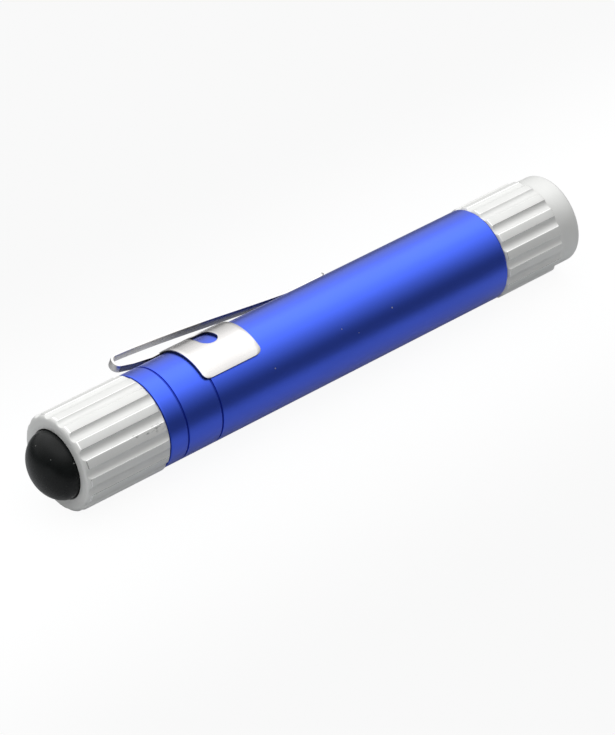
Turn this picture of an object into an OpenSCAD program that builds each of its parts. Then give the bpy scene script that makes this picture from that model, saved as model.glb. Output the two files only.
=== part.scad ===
// Penlight with a rubber tail button, a spring pocket clip and one AAA cell.
// X is the light's axis and the beam leaves towards +X. The origin is the centre of the
// shoulder behind the plain nose ring. +Z is up as the light lies on a table.

/* [Barrel] */
// Outer radius of the barrel
barrel_r = 7; // [6.9:0.1:8.5]
// Wall of the barrel round the cell
barrel_wall = 1.6; // [1.5:0.05:1.85]
// Length of the barrel that shows between the tail cap and the head
barrel_l = 61.9; // [60:0.5:75]
// Length of the spigot at each end of the barrel
spigot_l = 4.4; // [3.8:0.2:5]
// Wall of the spigots
spigot_wall = 0.85; // [0.8:0.05:0.95]
// Distance of the first turned line from the tail cap
line_1_x = 3; // [2:0.2:4]
// Distance of the second turned line from the tail cap
line_2_x = 9; // [7:0.2:12]
// Width of a turned line
line_w = 0.3; // [0.2:0.05:0.6]
// Depth of a turned line
line_depth = 0.15; // [0.1:0.05:0.3]
// Chamfer on the barrel's two shown edges
barrel_chamfer = 0.15; // [0.1:0.05:0.3]

/* [Fluted grips] */
// Number of flutes round the tail cap and round the head
flute_count = 16; // [12:1:18]
// Height of the lands between the flutes above the barrel
land_rise = 0.15; // [0.1:0.05:0.5]
// Depth of a flute below the lands
flute_depth = 0.35; // [0.2:0.05:0.4]
// Radius of the cutter that makes the flutes
flute_cutter_r = 1.12; // [0.9:0.05:1.3]
// Chamfer on the edges that face the barrel
grip_chamfer = 0.3; // [0.2:0.05:0.4]
// Width of the seam between the barrel and its neighbours
seam = 0.1; // [0.05:0.05:0.2]

/* [Tail cap] */
// Length of the tail cap
cap_l = 14.2; // [14:0.2:18]
// Width of the step in the cap's bore that the button's flange lies behind
cap_step_w = 0.35; // [0.3:0.05:0.45]
// Width of the lip that holds the button in
cap_lip_w = 0.8; // [0.75:0.05:1.05]
// Thickness of the lip that holds the button in
cap_lip_t = 1; // [0.8:0.1:1.2]
// Rounding of the cap's rear edge
cap_round = 0.75; // [0.5:0.05:0.8]
// Turn of the cap's flutes about the axis
cap_phase = 5.9; // [0:0.1:22.5]

/* [Head] */
// Length of the head's fluted grip
head_grip_l = 10.7; // [10:0.1:14]
// Length of the plain nose ring
nose_l = 3.9; // [3:0.1:4.6]
// Drop from the barrel's surface to the plain nose ring
nose_drop = 0.28; // [0.26:0.02:0.4]
// Rounding of the nose ring's front edge
nose_round = 0.5; // [0.3:0.05:0.6]
// Width of the step in the head's bore in front of the LED board
head_step_w = 0.55; // [0.5:0.05:0.65]
// Width of the lip that holds the lens in
nose_lip_w = 0.75; // [0.45:0.1:1.15]
// Thickness of the lip that holds the lens in
nose_lip_t = 0.9; // [0.7:0.1:1.2]
// Chamfer of the window's edge
window_chamfer = 0.35; // [0.2:0.05:0.5]
// Turn of the head's flutes about the axis
head_phase = 9.2; // [0:0.1:22.5]

/* [Screw joints] */
// Radial running clearance of the screwed spigots
thread_clear = 0.05; // [0.03:0.01:0.08]
// Section of the sealing rings
ring_d = 0.5; // [0.4:0.05:0.5]
// Depth of the grooves for the sealing rings
ring_groove_depth = 0.5; // [0.45:0.05:0.55]
// Width of the grooves for the sealing rings
ring_groove_w = 0.75; // [0.65:0.05:0.9]
// Distance of the grooves from the barrel's shoulders
ring_groove_x = 0.6; // [0.5:0.1:1]

/* [Button and switch] */
// Clearance round the rubber dome in the cap's opening
dome_clear = 0.1; // [0.1:0.05:0.45]
// Height of the dome behind the cap
dome_h = 3.7; // [2.5:0.1:4.2]
// Wall of the rubber boot
boot_wall = 0.9; // [0.7:0.1:1.2]
// Thickness of the boot's flange
boot_flange_t = 0.7; // [0.5:0.1:0.9]
// Travel of the button
button_travel = 1.2; // [0.8:0.1:1.4]
// Wall of the switch housing's rear end
housing_end_t = 1; // [0.8:0.1:1.2]
// Wall of the switch housing's side beside the switch board
housing_side_t = 1; // [0.8:0.1:1.2]
// Width of the ledge under the switch board
housing_ledge = 0.55; // [0.4:0.05:0.8]
// Thickness of the switch board
switch_board_t = 1; // [0.8:0.1:1.2]
// Thickness of the screwed ring that holds the switch in the cap
switch_ring_t = 0.7; // [0.6:0.1:1]
// Thickness of the plunger's head
plunger_head_t = 0.8; // [0.6:0.1:1]
// Distance of the plunger's head inside the edge of the boot's flange
plunger_inset = 1.3; // [0.9:0.1:1.9]
// Radius of the plunger's stem
stem_r = 1.4; // [1.2:0.1:1.6]
// Clearance round the moving contact in the switch housing
contact_clear = 0.95; // [0.55:0.1:1.35]
// Thickness of the moving contact
contact_t = 0.5; // [0.3:0.05:0.6]
// Radius of the pin in the middle of the moving contact
contact_pin_r = 0.8; // [0.6:0.1:1]

/* [Springs] */
// Wire of the spring behind the cell
tail_spring_wire = 0.5; // [0.4:0.05:0.6]
// Clearance of the spring behind the cell in the ring that it passes through
tail_spring_clear = 0.8; // [0.3:0.1:1.1]
// Curls of the spring behind the cell
tail_spring_curls = 8; // [6:1:10]
// Wire of the spring in front of the cell
cell_spring_wire = 0.4; // [0.3:0.05:0.5]
// Mean radius of the spring in front of the cell
cell_spring_r = 1.6; // [1.4:0.1:1.8]
// Length of the spring in front of the cell
cell_spring_l = 3; // [2.8:0.1:3.6]
// Curls of the spring in front of the cell
cell_spring_curls = 3; // [2:1:3]
// Wire of the button's return spring
switch_spring_wire = 0.3; // [0.25:0.05:0.35]
// Mean radius of the button's return spring
switch_spring_r = 1.9; // [1.7:0.1:2.2]
// Curls of the button's return spring
switch_spring_curls = 3; // [2:1:3]

/* [Cell] */
// Length of the AAA cell with its positive nub
cell_l = 44.5; // [43:0.1:45]
// Radial clearance round the cell
cell_clear = 0.15; // [0.1:0.05:0.2]
// Rounding of the can's edges
can_chamfer = 0.35; // [0.2:0.05:0.5]
// Radius of the positive nub
nub_r = 1.9; // [1.7:0.1:2]
// Height of the positive nub
nub_h = 1.2; // [0.9:0.1:1.4]
// Width of the insulating washer round the nub
washer_w = 2.17; // [1.57:0.1:2.57]
// Thickness of the insulating washer
washer_t = 0.3; // [0.2:0.05:0.4]

/* [Light engine] */
// Length of the LED pill inside the barrel
pill_l = 9; // [8:0.5:11]
// Thickness of the pill's flange
pill_flange_t = 0.8; // [0.6:0.1:1]
// Depth of the pocket behind the pill's web
pill_pocket_l = 3.5; // [3:0.5:5]
// Thickness of the driver board
driver_t = 1; // [0.8:0.1:1.2]
// Side wall of the pill beside the driver board
pill_wall = 0.5; // [0.4:0.05:0.6]
// Width of the ledge that the driver board rests on
pill_ledge = 0.6; // [0.4:0.05:0.8]
// Radius of the two leads through the pill
lead_r = 0.3; // [0.2:0.05:0.4]
// Distance of each lead from the axis
lead_offset = 1.6; // [1.4:0.1:2]
// Radius of the holes for the leads
lead_hole_r = 0.45; // [0.42:0.01:0.5]
// Distance of the LED board's edge inside the head's bore
led_board_inset = 1.15; // [0.75:0.1:1.55]
// Thickness of the LED board
led_board_t = 1; // [0.8:0.1:1.2]
// Side of the square LED package
led_side = 3.5; // [3:0.1:3.5]
// Height of the LED package
led_t = 0.7; // [0.5:0.1:0.9]
// Radius of the clear dome on the LED
led_dome_r = 1.3; // [1:0.1:1.4]

/* [Optics] */
// Thickness of the lens
lens_t = 1.2; // [1:0.1:1.4]
// Thickness of the flat seal in front of the lens
seal_t = 0.3; // [0.2:0.05:0.4]
// Width of the flat seal in front of the lens
seal_w = 0.6; // [0.4:0.05:0.7]
// Radius of the reflector's rear hole
reflector_hole_r = 2.6; // [2.55:0.05:2.8]
// Width of the reflector's front rim
reflector_rim = 0.4; // [0.3:0.05:0.6]
// Length of the reflector's straight front skirt
reflector_skirt_l = 1.2; // [0.8:0.1:2]
// Wall of the reflector behind its skirt
reflector_wall = 0.8; // [0.6:0.1:1]

/* [Pocket clip] */
// Thickness of the spring steel
clip_t = 0.4; // [0.3:0.05:0.5]
// Turn of the clip about the axis, from level on the far side
clip_turn = 24.2; // [0:0.1:90]
// Distance of the saddle from the tail cap
saddle_x = 8.1; // [7.5:0.1:14]
// Length of the saddle along the barrel
saddle_l = 10.1; // [8:0.1:14]
// Angle that the saddle wraps round the barrel
saddle_wrap = 207; // [190:1:240]
// Radius of the saddle's corners
saddle_corner_r = 0.95; // [0.6:0.05:1.4]
// Radial clearance of the saddle round the barrel
saddle_clear = 0.05; // [0.03:0.01:0.08]
// Width of the oval holes along the barrel
hole_w = 2.95; // [2:0.05:4]
// Length of the oval holes round the barrel
hole_l = 5.1; // [4.5:0.1:6]
// Distance of the holes' middle from the saddle's tail edge
hole_x = 5.1; // [3:0.1:7]
// Angle of each hole's middle from the clip's middle
hole_angle = 46; // [40:1:55]
// Width of the strip where it leaves the saddle
root_w = 4; // [3:0.1:5]
// Width of the strip at its bend
bend_w = 1.6; // [1.4:0.1:2.4]
// Width of the arm at its widest
arm_w = 2; // [1.6:0.1:3.5]
// Width of the arm at its tip
tip_w = 1.4; // [1.2:0.1:2.4]
// Outer radius of the bend
bend_r = 1.1; // [1:0.05:1.6]
// Distance of the bend's centre from the tail cap
bend_x = 3.05; // [2.5:0.05:4.5]
// Height of the bend's centre above the barrel
bend_rise = 2.43; // [2:0.01:2.8]
// Length of the arm from the bend's centre to its heel
arm_l = 28; // [20:0.5:36]
// Gap between the arm's heel and the barrel
heel_gap = 0.12; // [0.1:0.01:0.3]
// Radius of the arm's heel
heel_r = 30; // [10:1:60]
// Length of the flat behind the tip's curl
heel_flat_l = 3.5; // [0.5:0.1:5]
// Mean radius of the tip's curl
tip_r = 2; // [1:0.1:4]
// Angle of the tip's curl
tip_angle = 32; // [20:1:50]
// Length of the tip past its curl
tip_l = 0.4; // [0.3:0.1:2]

/* [Hidden] */

$fn = 96;

// Overrun of the cutters past the faces that they cut
over = 1;
// Gap between stacked parts that meet face to face and move apart
face_gap = 0.05;
// Radial clearance of parts that sit inside a shell
fit_clear = 0.05;
// Radial clearance of parts that are pressed or glued in
seat_clear = 0.03;
// Gap between the pressed-in button and the switch housing
stop_gap = 0.15;
// Gap between the LED board and the reflector
reflector_gap = 0.15;
// Clearance round the sealing rings in their bores
ring_clear = 0.02;
// Share of the boot's hollow radius that the plunger's plug fills
plug_share = 0.8;
// Depth of the strip's root inside the saddle's edge
root_bite = 0.3;
// Share of the arm's length at which it is widest
arm_wide_share = 0.55;
// Slope of the arm where it leaves the bend, as a drop per unit of length
arm_start_slope = 0.05;
// Slope of the arm where it reaches the heel, as a drop per unit of length
arm_end_slope = 0.1;
// Angle that the arm's pointed root reaches into the bend
arm_root_angle = 12;
// Steps along the arm's sweep, its heel and the curl of its tip
arm_steps = 14;
heel_steps = 3;
tip_steps = 6;
// Steps along the reflector's curve
reflector_steps = 14;
// Rings in a curl of a spring and sides of its wire
curl_rings = 8;
wire_sides = 6;
// Steps of a rounded edge and of the button's dome
round_steps = 8;
dome_steps = 16;
// Sides of a sealing ring's round section
ring_sides = 24;

// Places along the axis, from the head back to the tail
head_rear_x = -head_grip_l;
barrel_rear_x = head_rear_x - barrel_l;
tail_x = barrel_rear_x - cap_l;
front_spigot_x = head_rear_x + spigot_l;
rear_spigot_x = barrel_rear_x - spigot_l;

// Radii that the barrel sets, inwards to the cell and outwards to the flutes
barrel_bore_r = barrel_r - barrel_wall;
cell_r = barrel_bore_r - cell_clear;
washer_r = nub_r + seat_clear + washer_w;
spigot_r = barrel_bore_r + spigot_wall;
thread_bore_r = spigot_r + thread_clear;
land_r = barrel_r + land_rise;
nose_r = barrel_r - nose_drop;
flute_centre_r = land_r - flute_depth + flute_cutter_r;
ring_mid_r = thread_bore_r - ring_clear - ring_d / 2;

// Button and switch, from the cap's lip forwards
cap_lip_x = tail_x + cap_lip_t;
boot_x = cap_lip_x + face_gap;
plunger_x = boot_x + boot_flange_t;
plunger_front_x = plunger_x + plunger_head_t;
housing_x = plunger_front_x + button_travel + stop_gap;
switch_ring_x = rear_spigot_x - face_gap - switch_ring_t;
housing_front_x = switch_ring_x - face_gap;
switch_board_x = housing_front_x - switch_board_t;
contact_x = housing_x + housing_end_t + face_gap;
contact_front_x = contact_x + contact_t;
contact_pin_x = switch_board_x - button_travel - face_gap;
cap_cavity_r = thread_bore_r - cap_step_w;
opening_r = cap_cavity_r - cap_lip_w;
housing_r = cap_cavity_r - fit_clear;
housing_board_r = housing_r - housing_side_t;
housing_hollow_r = housing_board_r - housing_ledge;
contact_r = housing_hollow_r - contact_clear;
tail_spring_r = housing_hollow_r - tail_spring_clear - tail_spring_wire / 2;
boot_flange_r = cap_cavity_r - fit_clear;
plunger_head_r = boot_flange_r - plunger_inset;
dome_r = opening_r - dome_clear;
boot_hollow_r = dome_r - boot_wall;
boot_hollow_h = dome_h - boot_wall;

// Light engine and cell, from the front spigot backwards
pill_x = front_spigot_x - pill_l;
pill_r = barrel_bore_r - seat_clear;
pill_board_r = pill_r - pill_wall;
nub_x = pill_x - cell_spring_l;
can_front_x = nub_x - nub_h;
can_x = nub_x - cell_l;

// Optics, from the front spigot forwards
led_board_x = front_spigot_x + pill_flange_t;
led_x = led_board_x + led_board_t;
head_step_x = led_board_x + seam;
reflector_x = led_x + reflector_gap;
lens_front_x = nose_l - nose_lip_t - seal_t;
lens_x = lens_front_x - lens_t;
head_cavity_r = thread_bore_r - head_step_w;
led_board_r = head_cavity_r - led_board_inset;
window_r = head_cavity_r - nose_lip_w;
lens_r = head_cavity_r - fit_clear;
reflector_front_r = lens_r - reflector_rim;

// Pocket clip, with its own upright axis on its middle line
saddle_in_r = barrel_r + saddle_clear;
saddle_out_r = saddle_in_r + clip_t;
saddle_rear_x = barrel_rear_x + saddle_x;
saddle_mid_r = saddle_in_r + clip_t / 2;
bend_centre_x = barrel_rear_x + bend_x;
bend_centre_z = barrel_r + bend_rise;
bend_mid_r = bend_r - clip_t / 2;
// The lower strip runs straight from the saddle's edge and touches the bend's circle
strip_dx = saddle_rear_x - bend_centre_x;
strip_dz = saddle_mid_r - bend_centre_z;
strip_reach = sqrt(strip_dx * strip_dx + strip_dz * strip_dz);
strip_angle = atan2(strip_dz, strip_dx) + asin(bend_mid_r / strip_reach);
bend_start_angle = 270 + strip_angle;
bend_end_angle = 90 - atan(arm_start_slope);
arm_start_x = bend_centre_x + bend_mid_r * cos(bend_end_angle);
arm_start_z = bend_centre_z + bend_mid_r * sin(bend_end_angle);
heel_angle = atan(arm_end_slope);
arm_end_x = bend_centre_x + arm_l;
heel_low_z = barrel_r + heel_gap + clip_t / 2;
arm_end_z = heel_low_z + heel_r * (1 - cos(heel_angle));
heel_low_x = arm_end_x + heel_r * sin(heel_angle);
tip_start_x = heel_low_x + heel_flat_l;
clip_widest = max(root_w, arm_w, bend_w, tip_w);

// Turns a shape built along Z to run along X from the given place
module from_x(x) {
    translate([x, 0, 0]) rotate([0, 90, 0]) children();
}

// Turned body round the X axis from an outline of places and radii
module turned(outline) {
    rotate([0, 90, 0]) rotate_extrude() polygon([for (p = outline) [p[1], p[0]]]);
}

// Plain disc or rod round the X axis between two places
module rod(x0, x1, r) {
    from_x(x0) cylinder(h = x1 - x0, r = r);
}

// Plain tube round the X axis between two places
module tube(x0, x1, r_out, r_in) {
    difference() {
        rod(x0, x1, r_out);
        rod(x0 - over, x1 + over, r_in);
    }
}

// Rounding of an outline about a centre, between two angles
function rounding(x, r, radius, a0, a1) = [
    for (i = [0 : round_steps])
        let (a = a0 + (a1 - a0) * i / round_steps)
        [x + radius * cos(a), r + radius * sin(a)]
];

// Cutters for the flutes round a grip between two places
module flutes(x0, x1, phase) {
    for (i = [0 : flute_count - 1])
        rotate([phase + i * 360 / flute_count, 0, 0])
            translate([0, flute_centre_r, 0])
                rod(x0, x1, flute_cutter_r);
}

// One unbroken tube along a coil on the X axis, with its ends square to the axis
module coil(x0, x1, mid_r, wire, curls) {
    rings = curls * curl_rings;
    climb = x1 - x0 - wire;
    lean = atan(climb / curls / (2 * PI * mid_r));
    points = [
        for (i = [0 : rings])
            let (
                a = 360 * i / curl_rings,
                x = x0 + wire / 2 + climb * i / rings
            )
            for (j = [0 : wire_sides - 1])
                let (
                    b = 360 * (j + 0.5) / wire_sides,
                    out = wire / 2 * cos(b),
                    up = wire / 2 * sin(b)
                )
                [
                    x + up * cos(lean),
                    (mid_r + out) * cos(a) + up * sin(lean) * sin(a),
                    (mid_r + out) * sin(a) - up * sin(lean) * cos(a)
                ]
    ];
    sides = [
        for (i = [0 : rings - 1], j = [0 : wire_sides - 1])
            let (
                k = (j + 1) % wire_sides,
                a = i * wire_sides + j,
                b = i * wire_sides + k,
                c = (i + 1) * wire_sides + k,
                d = (i + 1) * wire_sides + j
            )
            each [[a, b, c], [a, c, d]]
    ];
    first = [for (j = [wire_sides - 1 : -1 : 0]) j];
    last = [for (j = [0 : wire_sides - 1]) rings * wire_sides + j];
    polyhedron(points = points, faces = concat(sides, [first, last]), convexity = 4);
}

// Least gap between the curls of a coil, measured between points on its wire's middle
function coil_gap(length, mid_r, wire, curls) =
    let (
        rings = curls * curl_rings,
        mids = [
            for (i = [0 : rings])
                [
                    (length - wire) * i / rings,
                    mid_r * cos(360 * i / curl_rings),
                    mid_r * sin(360 * i / curl_rings)
                ]
        ]
    )
    min([
        for (i = [0 : rings], j = [i + curl_rings / 2 : 1 : rings])
            norm(mids[i] - mids[j]) - wire
    ]);

// The springs' least gaps
echo(tail_spring_gap = coil_gap(
    can_x - housing_front_x, tail_spring_r, tail_spring_wire, tail_spring_curls
));
echo(cell_spring_gap = coil_gap(
    cell_spring_l, cell_spring_r, cell_spring_wire, cell_spring_curls
));
echo(switch_spring_gap = coil_gap(
    switch_board_x - contact_front_x, switch_spring_r, switch_spring_wire, switch_spring_curls
));
// Place and height of the arm's hinge in the clip's side plane
echo(hinge = [
    bend_centre_x + bend_r * cos(bend_start_angle),
    bend_centre_z + bend_r * sin(bend_start_angle)
]);

module barrel() {
    line_xs = [line_1_x, line_2_x];
    color([0.2, 0.33, 0.9]) difference() {
        turned([
            [rear_spigot_x, barrel_bore_r],
            [rear_spigot_x, spigot_r],
            [barrel_rear_x, spigot_r],
            [barrel_rear_x, barrel_r - barrel_chamfer],
            [barrel_rear_x + barrel_chamfer, barrel_r],
            [head_rear_x - barrel_chamfer, barrel_r],
            [head_rear_x, barrel_r - barrel_chamfer],
            [head_rear_x, spigot_r],
            [front_spigot_x, spigot_r],
            [front_spigot_x, barrel_bore_r]
        ]);
        for (x = line_xs)
            translate([barrel_rear_x + x - line_w / 2, 0, 0])
                tube(0, line_w, barrel_r + over, barrel_r - line_depth);
        tube(
            barrel_rear_x - ring_groove_x - ring_groove_w,
            barrel_rear_x - ring_groove_x,
            spigot_r + over,
            spigot_r - ring_groove_depth
        );
        tube(
            head_rear_x + ring_groove_x,
            head_rear_x + ring_groove_x + ring_groove_w,
            spigot_r + over,
            spigot_r - ring_groove_depth
        );
    }
}

module tail_cap() {
    front_x = barrel_rear_x - seam;
    color([0.88, 0.88, 0.87]) difference() {
        turned(concat(
            [
                [front_x, thread_bore_r],
                [switch_ring_x - face_gap, thread_bore_r],
                [switch_ring_x - face_gap, cap_cavity_r],
                [cap_lip_x, cap_cavity_r],
                [cap_lip_x, opening_r],
                [tail_x, opening_r]
            ],
            rounding(tail_x + cap_round, land_r - cap_round, cap_round, 180, 90),
            [
                [front_x - grip_chamfer, land_r],
                [front_x, land_r - grip_chamfer]
            ]
        ));
        flutes(tail_x - over, front_x + over, cap_phase);
    }
}

module head_shell() {
    rear_x = head_rear_x + seam;
    lip_x = nose_l - nose_lip_t;
    color([0.88, 0.88, 0.87]) difference() {
        turned(concat(
            [
                [rear_x, thread_bore_r],
                [rear_x, land_r - grip_chamfer],
                [rear_x + grip_chamfer, land_r],
                [-grip_chamfer / 2, land_r],
                [0, land_r - grip_chamfer / 2],
                [0, nose_r]
            ],
            rounding(nose_l - nose_round, nose_r - nose_round, nose_round, 90, 0),
            [
                [nose_l, window_r + window_chamfer],
                [nose_l - window_chamfer, window_r],
                [lip_x, window_r],
                [lip_x, head_cavity_r],
                [head_step_x, head_cavity_r],
                [head_step_x, thread_bore_r]
            ]
        ));
        flutes(rear_x - over, 0, head_phase);
    }
}

module sealing_ring(mid_x) {
    translate([mid_x, 0, 0]) rotate([0, 90, 0])
        rotate_extrude() translate([ring_mid_r, 0]) circle(d = ring_d, $fn = ring_sides);
}

module tail_o_ring() {
    color([0.1, 0.1, 0.1])
        sealing_ring(barrel_rear_x - ring_groove_x - ring_groove_w / 2);
}

module head_o_ring() {
    color([0.1, 0.1, 0.1])
        sealing_ring(head_rear_x + ring_groove_x + ring_groove_w / 2);
}

// Half outline of a dome behind the cap, from its foot to the axis
function dome(h, r) = [
    for (i = [0 : dome_steps])
        let (a = 90 * i / dome_steps)
        [tail_x - h * sin(a), i < dome_steps ? r * cos(a) : 0]
];

module button_boot() {
    color([0.08, 0.09, 0.09]) difference() {
        turned(concat(
            dome(dome_h, dome_r),
            [
                [plunger_x, 0],
                [plunger_x, boot_flange_r],
                [boot_x, boot_flange_r],
                [boot_x, dome_r]
            ]
        ));
        turned(concat(
            dome(boot_hollow_h, boot_hollow_r),
            [
                [plunger_x + over, 0],
                [plunger_x + over, boot_hollow_r]
            ]
        ));
    }
}

module switch_plunger() {
    // The plug fills the boot's hollow as far as the dome's wall allows
    plug_r = boot_hollow_r * plug_share;
    plug_x = tail_x - boot_hollow_h * sqrt(1 - plug_share * plug_share) + face_gap;
    color([0.9, 0.88, 0.8]) {
        rod(plunger_x, plunger_front_x, plunger_head_r);
        rod(plug_x, plunger_front_x, plug_r);
        rod(plunger_front_x, contact_x, stem_r);
    }
}

module contact_disc() {
    color([0.85, 0.7, 0.35]) {
        rod(contact_x, contact_front_x, contact_r);
        rod(contact_front_x, contact_pin_x, contact_pin_r);
    }
}

module switch_spring() {
    color([0.75, 0.75, 0.74]) coil(
        contact_front_x, switch_board_x,
        switch_spring_r, switch_spring_wire, switch_spring_curls
    );
}

module switch_housing() {
    color([0.16, 0.16, 0.17]) difference() {
        rod(housing_x, housing_front_x, housing_r);
        rod(housing_x - over, housing_front_x, stem_r + fit_clear);
        rod(housing_x + housing_end_t, housing_front_x, housing_hollow_r);
        rod(switch_board_x, housing_front_x + over, housing_board_r);
    }
}

module switch_board() {
    color([0.12, 0.42, 0.22])
        rod(switch_board_x, housing_front_x, housing_board_r - seat_clear);
}

module switch_ring() {
    color([0.8, 0.68, 0.4]) tube(
        switch_ring_x,
        switch_ring_x + switch_ring_t,
        thread_bore_r - seat_clear,
        housing_hollow_r
    );
}

module tail_spring() {
    color([0.78, 0.78, 0.76]) coil(
        housing_front_x, can_x,
        tail_spring_r, tail_spring_wire, tail_spring_curls
    );
}

module cell_can() {
    color([0.75, 0.76, 0.78]) turned([
        [can_x, 0],
        [can_x, cell_r - can_chamfer],
        [can_x + can_chamfer, cell_r],
        [can_front_x - can_chamfer, cell_r],
        [can_front_x, cell_r - can_chamfer],
        [can_front_x, 0]
    ]);
}

module cell_washer() {
    color([0.92, 0.9, 0.84])
        tube(can_front_x, can_front_x + washer_t, washer_r, nub_r + seat_clear);
}

module cell_positive_nub() {
    color([0.85, 0.84, 0.8]) rod(can_front_x, nub_x, nub_r);
}

module cell_spring() {
    color([0.85, 0.7, 0.35]) coil(
        nub_x, pill_x,
        cell_spring_r, cell_spring_wire, cell_spring_curls
    );
}

module led_pill() {
    ledge_x = pill_x + driver_t;
    color([0.8, 0.68, 0.4]) difference() {
        union() {
            rod(pill_x, front_spigot_x, pill_r);
            rod(front_spigot_x, led_board_x, spigot_r - seat_clear);
        }
        rod(pill_x - over, ledge_x, pill_board_r);
        rod(pill_x, ledge_x + pill_pocket_l, pill_board_r - pill_ledge);
        for (side = [-1, 1])
            translate([0, side * lead_offset, 0])
                rod(pill_x, led_board_x + over, lead_hole_r);
    }
}

module driver_board() {
    color([0.12, 0.42, 0.22])
        rod(pill_x, pill_x + driver_t, pill_board_r - seat_clear);
}

module led_leads() {
    color([0.8, 0.2, 0.15])
        for (side = [-1, 1])
            translate([0, side * lead_offset, 0])
                rod(pill_x + driver_t, led_board_x, lead_r);
}

module led_board() {
    color([0.93, 0.94, 0.93]) rod(led_board_x, led_x, led_board_r);
}

module led_package() {
    color([0.95, 0.93, 0.7])
        translate([led_x, -led_side / 2, -led_side / 2])
            cube([led_t, led_side, led_side]);
}

module led_dome() {
    color([0.95, 0.95, 0.85, 0.6]) intersection() {
        translate([led_x + led_t, 0, 0]) sphere(r = led_dome_r);
        rod(led_x + led_t, led_x + led_t + led_dome_r + over, led_dome_r + over);
    }
}

module reflector() {
    depth = lens_x - face_gap - reflector_x;
    front_x = reflector_x + depth;
    // The bowl widens as a parabola from the rear hole to the front rim
    bowl = [
        for (i = [reflector_steps : -1 : 0])
            let (share = i / reflector_steps)
            [
                reflector_x + depth * share,
                sqrt(
                    reflector_hole_r * reflector_hole_r * (1 - share)
                    + reflector_front_r * reflector_front_r * share
                )
            ]
    ];
    color([0.9, 0.9, 0.92]) turned(concat(
        [
            [reflector_x, reflector_hole_r + reflector_wall],
            [front_x - reflector_skirt_l, lens_r - seat_clear],
            [front_x, lens_r - seat_clear]
        ],
        bowl
    ));
}

module lens() {
    color([0.9, 0.95, 1, 0.4]) rod(lens_x, lens_front_x, lens_r);
}

module lens_seal() {
    color([0.1, 0.1, 0.1])
        tube(lens_front_x, lens_front_x + seal_t - face_gap, lens_r, lens_r - seal_w);
}

// Sets a shape built with the clip's middle line upright at the clip's place
module at_clip() {
    rotate([clip_turn - 90, 0, 0]) children();
}

// Oval cutter along the upright axis for a hole in the saddle
module oval_cutter() {
    run = (hole_l - hole_w) / 2;
    linear_extrude(height = saddle_out_r + over) {
        translate([-hole_w / 2, -run]) square([hole_w, 2 * run]);
        translate([0, run]) circle(d = hole_w);
        translate([0, -run]) circle(d = hole_w);
    }
}

// Cutter that rounds one corner of the saddle, with the corner towards +X and +Y. Its
// first and last steps run on past the saddle's edges, so that they cross them.
module corner_cutter() {
    step = 90 / round_steps;
    lap = saddle_corner_r * sin(step);
    past = saddle_corner_r * (2 - cos(step));
    far = saddle_corner_r + over;
    linear_extrude(height = saddle_out_r + over)
        polygon(concat(
            [[past, -lap]],
            [
                for (i = [1 : round_steps - 1])
                    saddle_corner_r * [cos(i * step), sin(i * step)]
            ],
            [[-lap, past], [-lap, far], [far, far], [far, -lap]]
        ));
}

// Strip width along the clip as an outline in plan, from the saddle to the bend
module root_plan() {
    polygon([
        [saddle_rear_x + root_bite, root_w / 2],
        [saddle_rear_x - root_bite, root_w / 2],
        [bend_centre_x + bend_r, bend_w / 2],
        [bend_centre_x - bend_r - over, bend_w / 2],
        [bend_centre_x - bend_r - over, -bend_w / 2],
        [bend_centre_x + bend_r, -bend_w / 2],
        [saddle_rear_x - root_bite, -root_w / 2],
        [saddle_rear_x + root_bite, -root_w / 2]
    ]);
}

// Sheet lying in the clip's side plane, as wide as the widest part of the strip
module side_sheet() {
    translate([0, clip_widest / 2 + over, 0]) rotate([90, 0, 0])
        linear_extrude(height = clip_widest + 2 * over) children();
}

module clip_saddle() {
    half_wrap = saddle_wrap / 2;
    end_angle = half_wrap - asin(saddle_corner_r / saddle_out_r);
    foot = [
        bend_centre_x + bend_mid_r * cos(bend_start_angle),
        bend_centre_z + bend_mid_r * sin(bend_start_angle)
    ];
    along = [cos(strip_angle), sin(strip_angle)];
    across = [-sin(strip_angle), cos(strip_angle)] * clip_t / 2;
    root = foot + along * (saddle_rear_x + root_bite - foot[0]) / along[0];
    color([0.86, 0.85, 0.83]) at_clip() {
        difference() {
            from_x(saddle_rear_x)
                rotate([0, 0, 180 - half_wrap])
                    rotate_extrude(angle = saddle_wrap)
                        translate([saddle_in_r, 0]) square([clip_t, saddle_l]);
            for (side = [-1, 1])
                rotate([side * hole_angle, 0, 0])
                    translate([saddle_rear_x + hole_x, 0, 0]) oval_cutter();
            for (side = [0, 1], end = [0, 1])
                mirror([0, side, 0])
                    rotate([-end_angle, 0, 0])
                        translate([saddle_rear_x + saddle_l * end, 0, 0])
                            mirror([1 - end, 0, 0])
                                translate([-saddle_corner_r, 0, 0]) corner_cutter();
        }
        intersection() {
            side_sheet() polygon([foot - across, root - across, root + across, foot + across]);
            linear_extrude(height = bend_centre_z) root_plan();
        }
    }
}

// Arm's middle line in the clip's side plane, as places and slope angles
function arm_point(share) =
    let (
        length = arm_end_x - arm_start_x,
        drop = arm_start_z - arm_end_z,
        m0 = -arm_start_slope * length / drop,
        m1 = -arm_end_slope * length / drop,
        t2 = share * share,
        t3 = t2 * share,
        height = 2 * t3 - 3 * t2 + 1 + m0 * (t3 - 2 * t2 + share) + m1 * (t3 - t2),
        fall = 6 * t2 - 6 * share + m0 * (3 * t2 - 4 * share + 1) + m1 * (3 * t2 - 2 * share)
    )
    [arm_start_x + length * share, arm_end_z + drop * height, atan(fall * drop / length)];

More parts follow.
